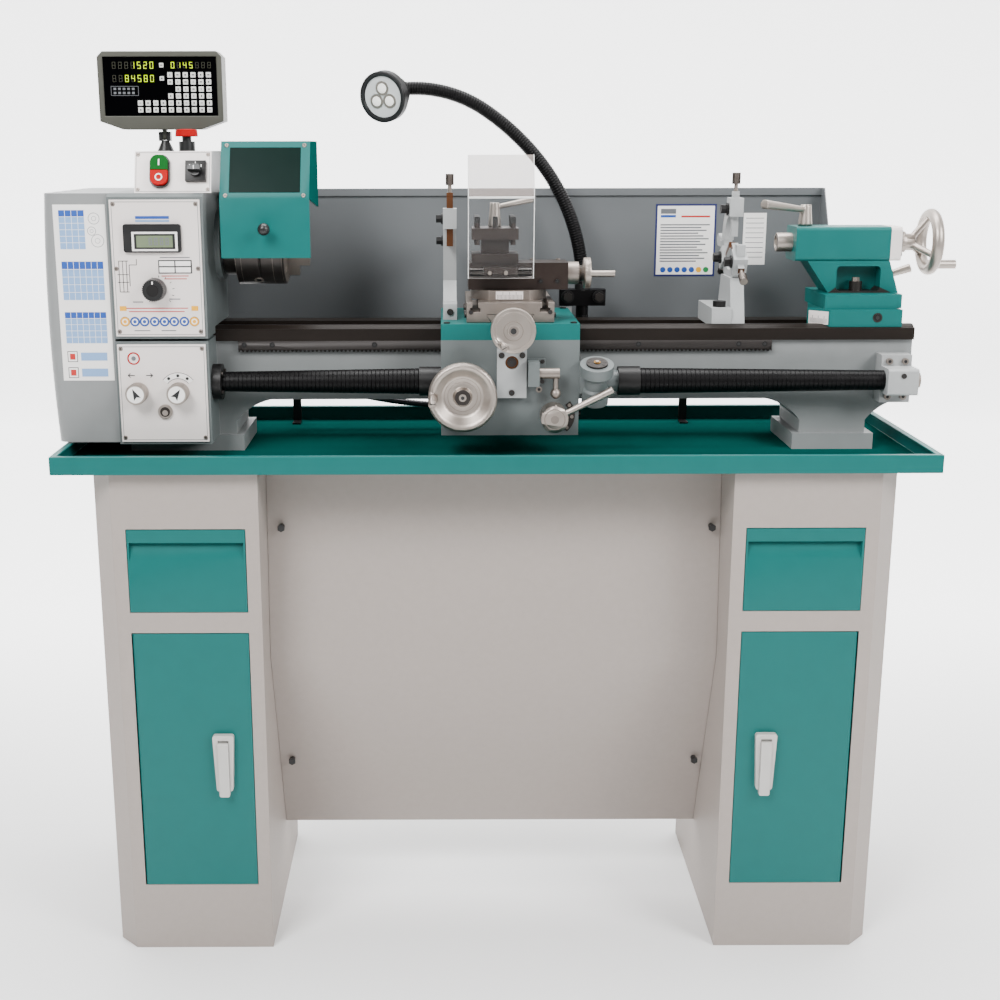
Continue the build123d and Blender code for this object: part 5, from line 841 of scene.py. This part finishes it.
wheel = Piece("apron_wheel_details", "apron_handwheel")
wheel.rod("-Y", (WHEEL_X, 50.3, WHEEL_Z), 0.4, 11.7, DARK)
wheel.cap_screw("-Y", (WHEEL_X, 49.9, WHEEL_Z), 5.5, 2.4, BRIGHT)
for radius in (22, 27, 32, 37):
    wheel.ring("Y", (WHEEL_X, 60, WHEEL_Z), radius, 0.4, STEEL, sides=64)
wheel.box((-97, -89), (-4.6, -4.3), (WHEEL_Z - 0.7, WHEEL_Z + 0.7), INK_AND_SHADE)
wheel.knurl("-Y", (-93, 46, WHEEL_Z), 10, 6, 24, STEEL)
wheel.dial("-Y", (WHEEL_X, 92, WHEEL_Z), 8, 15, 50, INK_AND_SHADE)
wheel.done()
cross = Piece("cross_wheel_details", "cross_handwheel")
cross.dial("-Y", (CROSS_X, 80, CROSS_Z), 10, 15, 60, INK_AND_SHADE)
cross.rod("-Y", (CROSS_X, 41, CROSS_Z), 0.6, 8.6, STEEL)
cross.ring("Y", (CROSS_X, 40.6, CROSS_Z), 8.2, 1.0, BRIGHT, sides=40, flat=0.6)
cross.rod("-Y", (CROSS_X, 40.5, CROSS_Z), 0.5, 4.4, INK_AND_SHADE)
cross.ring("Y", (CROSS_X, 41, CROSS_Z), 27, 1.0, BRIGHT, sides=56, flat=0.6)
cross.ring("Y", (CROSS_X, 41, CROSS_Z), 14, 0.6, STEEL, sides=48, flat=0.6)
handle = radians(235)
grip = Matrix.Translation((CROSS_X + 25 * cos(handle), 8, CROSS_Z + 25 * sin(handle)))
cross.rod("-Y", (0, 0, 0), 0.4, 4.2, BRIGHT, place=grip)
# The slot in the pin's end is a black bar of painted shade.
cross.box((-3.6, 3.6), (-0.7, -0.3), (-0.6, 0.6), INK_AND_SHADE, grip @ Matrix.Rotation(radians(-30), 4, "Y"))
cross.done()
top_wheel = Piece("top_wheel_details", "top_slide_handwheel")
top_low, top_high = limits("top_slide_handwheel")
top_z = (top_low.z + top_high.z) / 2
top_wheel.dial("X", (131, POST_Y, top_z), 6, 12, 40, INK_AND_SHADE)
top_wheel.knurl("X", (139, POST_Y, top_z), 8, 23, 60, BRIGHT)
top_wheel.done()
half_nut = Piece("half_nut_details", "half_nut_lever")
half_nut.ring("Y", (NUT_X, 55.4, NUT_Z), 15, 1.0, STEEL, sides=48, flat=0.6)
half_nut.rod("-Y", (NUT_X, 55, NUT_Z), 1.4, 6, STEEL)
half_nut.done()
DIAL = Matrix.Translation((150, 86, SCREW_Z)) @ Matrix.Rotation(radians(20), 4, "X")
dial = Piece("thread_dial_marks", "thread_dial")
for i in range(8):
    turn = DIAL @ Matrix.Rotation(radians(i * 45), 4, "Z")
    dial.box((9, 14), (-0.4, 0.4), (38, 38.2), INK_AND_SHADE, turn)
dial.rod("Z", (0, 0, 38), 1.0, 5, BRASS, place=DIAL)
dial.rod("Z", (0, 0, 39), 1.6, 2.6, BRIGHT, place=DIAL)
dial.done()

swivel = Piece("swivel_marks", "swivel_base")
swivel.box((2, 43), (137.4, 138), (1017, 1029), PLATE)
for i in range(-9, 10):
    x = 22.5 + i * 2
    swivel.box((x - 0.25, x + 0.25), (137.2, 137.5), (1017, 1024 if i % 5 else 1028), INK_AND_SHADE)
swivel.done()
slide = Piece("cross_slide_screws", "cross_slide")
for y in (125, 160, 220, 255):
    slide.cap_screw("X", (88.5, y, 995), 4, 3, DARK)
    slide.cap_screw("-X", (-42.5, y, 995), 4, 3, DARK)
for x in (-36, 82):
    slide.cap_screw("-Y", (x, 110, 1001), 3.5, 2, DARK)
slide.done()
top = Piece("top_slide_screws", "top_slide")
for x in (70, 95):
    top.cap_screw("-Y", (x, 150, 1043), 3.2, 3, BLACKED)
for x in (-30, 20, 60, 100):
    top.cap_screw("Z", (x, 206, 1070.9), 3.5, 2, STEEL)
top.dial("-X", (130, POST_Y, top_z), 4, 17, 24, INK_AND_SHADE)
top.done()

post = Piece("tool_post_screws", "tool_post")
for along, across in ((1, 1), (1, -1), (-1, 1), (-1, -1)):
    x, y = POST_X + along * 27, POST_Y + across * 27
    post.box((x - 4.2, x + 4.2), (y - 4.2, y + 4.2), (1129, 1139), BLACKED, edge=0.8)
for x, y in ((POST_X, POST_Y - 27), (POST_X, POST_Y + 27), (POST_X - 27, POST_Y), (POST_X + 27, POST_Y)):
    post.rod("Z", (x, y, 1122), 12, 4, DARK)
    post.box((x - 3.8, x + 3.8), (y - 3.8, y + 3.8), (1129, 1139), BLACKED, edge=0.8)
post.done()
shield = Piece("tool_guard_trim", "tool_guard")
# A near-white rod along the bend and strips along the side edges: painted highlight on the clear sheet.
shield.rod("X", (-40.5, 113.6, 1168), 98, 1.7, CLEAR_EDGE_HIGHLIGHT, sides=16)
for middle, run, half in (((8.5, 114, 1109), (-4, 118), 59), ((8.5, 127, 1198.5), (30, 61), 34)):
    slope = leaning(middle, run)
    for x in (-48.4, 48.4):
        shield.box((x - 0.6, x + 0.6), (-half, half), (0, 0.3), CLEAR_EDGE_HIGHLIGHT, slope)
for x in (-8, 16):
    shield.rod("-Y", (x, 117, 1058), 3, 3.4, BRIGHT, end=2.6)
shield.done()

follow = Piece("follow_rest_bolts", "carriage")
for y, z in ((AXIS_Y, 1132), (292, AXIS_Z)):
    follow.rod("-X", (-77.5, y, z), 3, 8.5, BLACKED)
    follow.rod("-X", (-80.5, y, z), 8, 6.6, BLACKED, sides=6)
follow.cap_screw("-Y", (FOLLOW_X, 150, 997), 5, 2.5, DARK)
follow.knurl("Z", (FOLLOW_X, AXIS_Y, 1183), 17, 6, 26, BROWN)
follow.done()
steady = Piece("steady_rest_bolts", "steady_rest")
for angle in (210, -30):
    turn = Matrix.Translation((STEADY_FACE, AXIS_Y, AXIS_Z)) @ Matrix.Rotation(radians(angle), 4, "X")
    steady.rod("-X", (0, 53, 0), 3, 9.5, BLACKED, place=turn)
    steady.rod("-X", (-3, 53, 0), 9, 7.4, BLACKED, sides=6, place=turn)
    knob = Matrix.Translation((STEADY_X, AXIS_Y, AXIS_Z)) @ Matrix.Rotation(radians(angle), 4, "X")
    steady.knurl("Y", (0, 89, 0), 17, 6, 26, BROWN, knob)
steady.done()
steady_head = Piece("steady_top_bolts", "steady_rest_top")
steady_head.rod("-X", (STEADY_FACE, AXIS_Y, 1146), 3, 9.5, BLACKED)
steady_head.rod("-X", (STEADY_FACE - 3, AXIS_Y, 1146), 9, 7.4, BLACKED, sides=6)
steady_head.knurl("Z", (STEADY_X, AXIS_Y, 1184), 17, 6, 26, BROWN)
steady_head.done()

# Tailstock details

tail = Piece("tailstock_details", "tailstock")
slant = Matrix.Translation((501, 179, 0)) @ Matrix.Rotation(radians(-45), 4, "Z")
tail.box((-17, 17), (-0.5, 0), (974, 994), PLATE, slant)
for i in range(-7, 8):
    tail.box((i * 2 - 0.3, i * 2 + 0.3), (-0.7, -0.4), (976, 983 if i % 5 else 987), PALE_INK, slant)
tail.box((617, 626), (172.3, 297.7), (998.4, 1019.8), TEAL, edge=0.8)
tail.rod("-Y", (588, 165, 985), 0.4, 7.4, DARK)
tail.cap_screw("-Y", (588, 165, 985), 5.4, 1.2, BLACKED)
for y, z in ((210, 1110), (260, 1110), (210, 1078), (260, 1078)):
    tail.cap_screw("X", (629, y, z), 3.8, 2.5, DARK)
tail.rod("Z", (566, 219, 1036), 6, 6, STEEL, sides=6)
tail.done()
tail_wheel = Piece("tailstock_wheel_details", "tailstock_handwheel")
tail_wheel.dial("X", (630, AXIS_Y, AXIS_Z), 10, 16, 50, INK_AND_SHADE)
tail_wheel.ring("X", (682, AXIS_Y, AXIS_Z), 42, 9.05, BRIGHT, sides=72, around=20)
tail_wheel.rod("X", (655, AXIS_Y, AXIS_Z), 3, 8, STEEL, sides=6)
tail_wheel.done()

# Splash guard: two plain printed sheets, and a strip under its left end

label = Piece("splash_label", ROOT)
label.card((275.3, 376.5), (1029, 1148), LABEL_Y, NAVY)
label.card((278.5, 373.3), (1032.2, 1144.8), LABEL_Y - 0.2, WHITE)
label.card((284, 309), (1126, 1130), LABEL_Y - 0.4, BLUE)
label.card((284, 309), (1132, 1140), LABEL_Y - 0.4, PALE_INK)
label.card((318, 366), (1126, 1129), LABEL_Y - 0.4, RED_PRINT)
for i in range(14):
    label.card((284, 366 - (i * 37) % 23), (1113 - i * 4.6, 1115 - i * 4.6), LABEL_Y - 0.4, PALE_INK)
for i, colour in enumerate((BLUE, BLUE, BLUE, BLUE, BLUE, YELLOW, GREEN_PRINT)):
    label.disc(290 + i * 12, 1040, LABEL_Y - 0.4, 4.6, colour, sides=20)
label.card((422, 460), (1048, 1133), LABEL_Y, WHITE)
for i in range(9):
    label.card((426, 456), (1124 - i * 8, 1125 - i * 8), LABEL_Y - 0.2, PALE_INK)
label.box((-489.5, -395), (LABEL_Y, LABEL_Y + 2), (955, 970.2), SPLASH)
label.done()

# Work lamp

lamp = Piece("lamp_details", "carriage")
turn = Matrix.Translation((-172, 292, 1316))
turn = turn @ Matrix.Rotation(radians(-25), 4, "Z") @ Matrix.Rotation(radians(10), 4, "X")
lamp.rod("-Y", (0, 4, 0), 1.5, 31.5, LENS, place=turn, sides=48)
for i in range(3):
    a = radians(90 + i * 120)
    lamp.rod("-Y", (13 * cos(a), 2.6, 13 * sin(a)), 1.2, 11, BRIGHT, place=turn)
    lamp.rod("-Y", (13 * cos(a), 1.4, 13 * sin(a)), 1, 7.5, LED, end=5, place=turn)
lamp.ring("Y", (0, 1, 0), 35.5, 3.6, BLACK, place=turn, sides=56, flat=0.6)
for i in range(5):
    lamp.ring("Y", (0, 18 + i * 6, 0), 29 - i * 0.8, 1.6, BLACK, place=turn, sides=48, flat=1.0)


def bends(places, way, step):
    """Points and headings along arcs that run on into each other in the XZ plane, step by step."""
    heading, left = atan2(way[1], way[0]), 0.0
    for start, end in zip(places, places[1:]):
        run = Vector((end[0] - start[0], end[1] - start[1]))
        turn = (atan2(run.y, run.x) - heading + pi) % (2 * pi) - pi
        radius = run.length / (2 * sin(turn))
        length = 2 * turn * radius
        while left < length:
            a = heading + left / radius
            x = start[0] + radius * (sin(a) - sin(heading))
            z = start[1] - radius * (cos(a) - cos(heading))
            yield (x, z), a
            left += step
        left -= length
        heading += 2 * turn


for (x, z), heading in bends(((NECK_X, 1014), (75.9, 1220), (-11.9, 1298.1), (-136, 1330)), (0, 1), 4.2):
    way = Matrix.Translation((x, NECK_Y, z)) @ Matrix.Rotation(pi / 2 - heading, 4, "Y")
    lamp.ring("Z", (0, 0, 0), 9.6, 1.4, RUBBER, sides=20, place=way, around=6)
lamp.rod("Z", (NECK_X, NECK_Y, 1012), 10, 12.5, BLACK)
lamp.rod("-Z", (NECK_X, NECK_Y, 972), 8, 11.5, BLACK, sides=6)
for x in (125, 176):
    lamp.rod("-Y", (x, 314, 1003), 3, 10.5, BLACKED)
    lamp.rod("-Y", (x, 311, 1003), 7, 7.6, DARK, sides=6)
lamp.cap_screw("-Y", (122, 318, 972), 4, 2.5, DARK)
lamp.done()

# Lamp conduit, in metres

ROUTE = [ZERO + Vector(point) for point in (
    (-0.322, 0.326, 0.866), (-0.288, 0.326, 0.866), (-0.240, 0.327, 0.846), (-0.180, 0.328, 0.832),
    (-0.112, 0.330, 0.823), (-0.040, 0.331, 0.819), (0.028, 0.332, 0.822), (0.082, 0.331, 0.838),
    (0.120, 0.329, 0.868), (0.142, 0.328, 0.905), (0.150, 0.328, 0.938), (0.150, 0.328, 0.964),
)]


def spline_points(points, between):
    """The points of a smooth spline that has the given ones as its control points."""
    data = bpy.data.curves.new("guide", "CURVE")
    data.dimensions = "3D"
    data.resolution_u = between
    spline = data.splines.new("NURBS")
    spline.points.add(len(points) - 1)
    for control, place in zip(spline.points, points):
        control.co = (*place, 1)
    spline.order_u = 3
    spline.use_endpoint_u = True
    holder = bpy.data.objects.new("guide", data)
    mesh = bpy.data.meshes.new_from_object(holder)
    line = [v.co.copy() for v in mesh.vertices]
    bpy.data.objects.remove(holder)
    bpy.data.meshes.remove(mesh)
    bpy.data.curves.remove(data)
    return line


line = spline_points(ROUTE, 26)
total = sum((b - a).length for a, b in zip(line, line[1:]))
conduit = Piece("conduit_ribs", None)
RIB, GROOVE = 5.5, 4.8
sides, rings = 14, []
for i, place in enumerate(line):
    ahead = line[min(i + 1, len(line) - 1)] - line[max(i - 1, 0)]
    way = Matrix.Translation((place - ZERO) * 1000) @ ahead.to_track_quat("Z", "Y").to_matrix().to_4x4()
    radius = RIB if i % 2 else GROOVE
    rings.append([conduit.mesh.verts.new(way @ Vector((radius * cos(a), radius * sin(a), 0)))
                  for a in (2 * pi * k / sides for k in range(sides))])
faces = [conduit.mesh.faces.new(rings[0]), conduit.mesh.faces.new(rings[-1])]
for one, two in zip(rings, rings[1:]):
    for k in range(sides):
        faces.append(conduit.mesh.faces.new((one[k], one[(k + 1) % sides], two[(k + 1) % sides], two[k])))
conduit.paint(faces, CONDUIT)
cord = conduit.done(angle=60, ride=False)
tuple(ROUTE[0])
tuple(ROUTE[-1])
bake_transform(cord)
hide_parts("lamp_conduit")
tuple(ROUTE[0])

# Studio

BEND, WALL, REACH, HEIGHT = 0.8, 5.0, 30.0, 12.0    # metres; the wall stands behind every camera place
sweep = [(-REACH, 0.0), (WALL - BEND, 0.0)]
for i in range(1, 17):
    a = pi / 2 * i / 16
    sweep.append((WALL - BEND + BEND * sin(a), BEND - BEND * cos(a)))
sweep.append((WALL, HEIGHT))
floor_mesh = bpy.data.meshes.new("floor")
floor_mesh.from_pydata([(x, y, z) for y, z in sweep for x in (-REACH, REACH)], [],
                       [(2 * i, 2 * i + 1, 2 * i + 3, 2 * i + 2) for i in range(len(sweep) - 1)])
floor_mesh.shade_smooth()
floor = bpy.data.objects.new("floor", floor_mesh)
floor_mesh.materials.append(FLOOR)
bpy.context.scene.collection.objects.link(floor)

world = bpy.data.worlds.new("studio")
bpy.context.scene.world = world
world.use_nodes = True
world.node_tree.nodes["Background"].inputs["Color"].default_value = (1, 1, 1, 1)
world.node_tree.nodes["Background"].inputs["Strength"].default_value = 0.35


def lamp_panel(name, place, aim, size, power):
    """A soft rectangular lamp that looks at a point."""
    data = bpy.data.lights.new(name, "AREA")
    data.shape = "RECTANGLE"
    data.size, data.size_y = size
    data.energy = power
    made = bpy.data.objects.new(name, data)
    bpy.context.scene.collection.objects.link(made)
    made.location = place
    made.rotation_euler = (Vector(aim) - Vector(place)).to_track_quat("-Z", "Y").to_euler()


lamp_panel("key", (-1.5, -2.3, 3.0), (0, 0, 1.1), (1.4, 1.4), 150)
lamp_panel("fill", (2.3, -2.0, 2.5), (0.1, 0, 1.1), (1.4, 1.4), 120)
lamp_panel("top", (0, 0.2, 3.2), (0, 0, 0.8), (2.4, 1.2), 120)

camera = bpy.data.cameras.new("camera")
camera.sensor_width = 36
camera.lens = 51.19
camera.shift_x = 0.0496
eye = bpy.data.objects.new("camera", camera)
bpy.context.scene.collection.objects.link(eye)
eye.location = at(-72.8, -2015, 1238.9)
eye.rotation_euler = (radians(90 - 13.91), radians(0.11), radians(-0.178))
bpy.context.scene.camera = eye
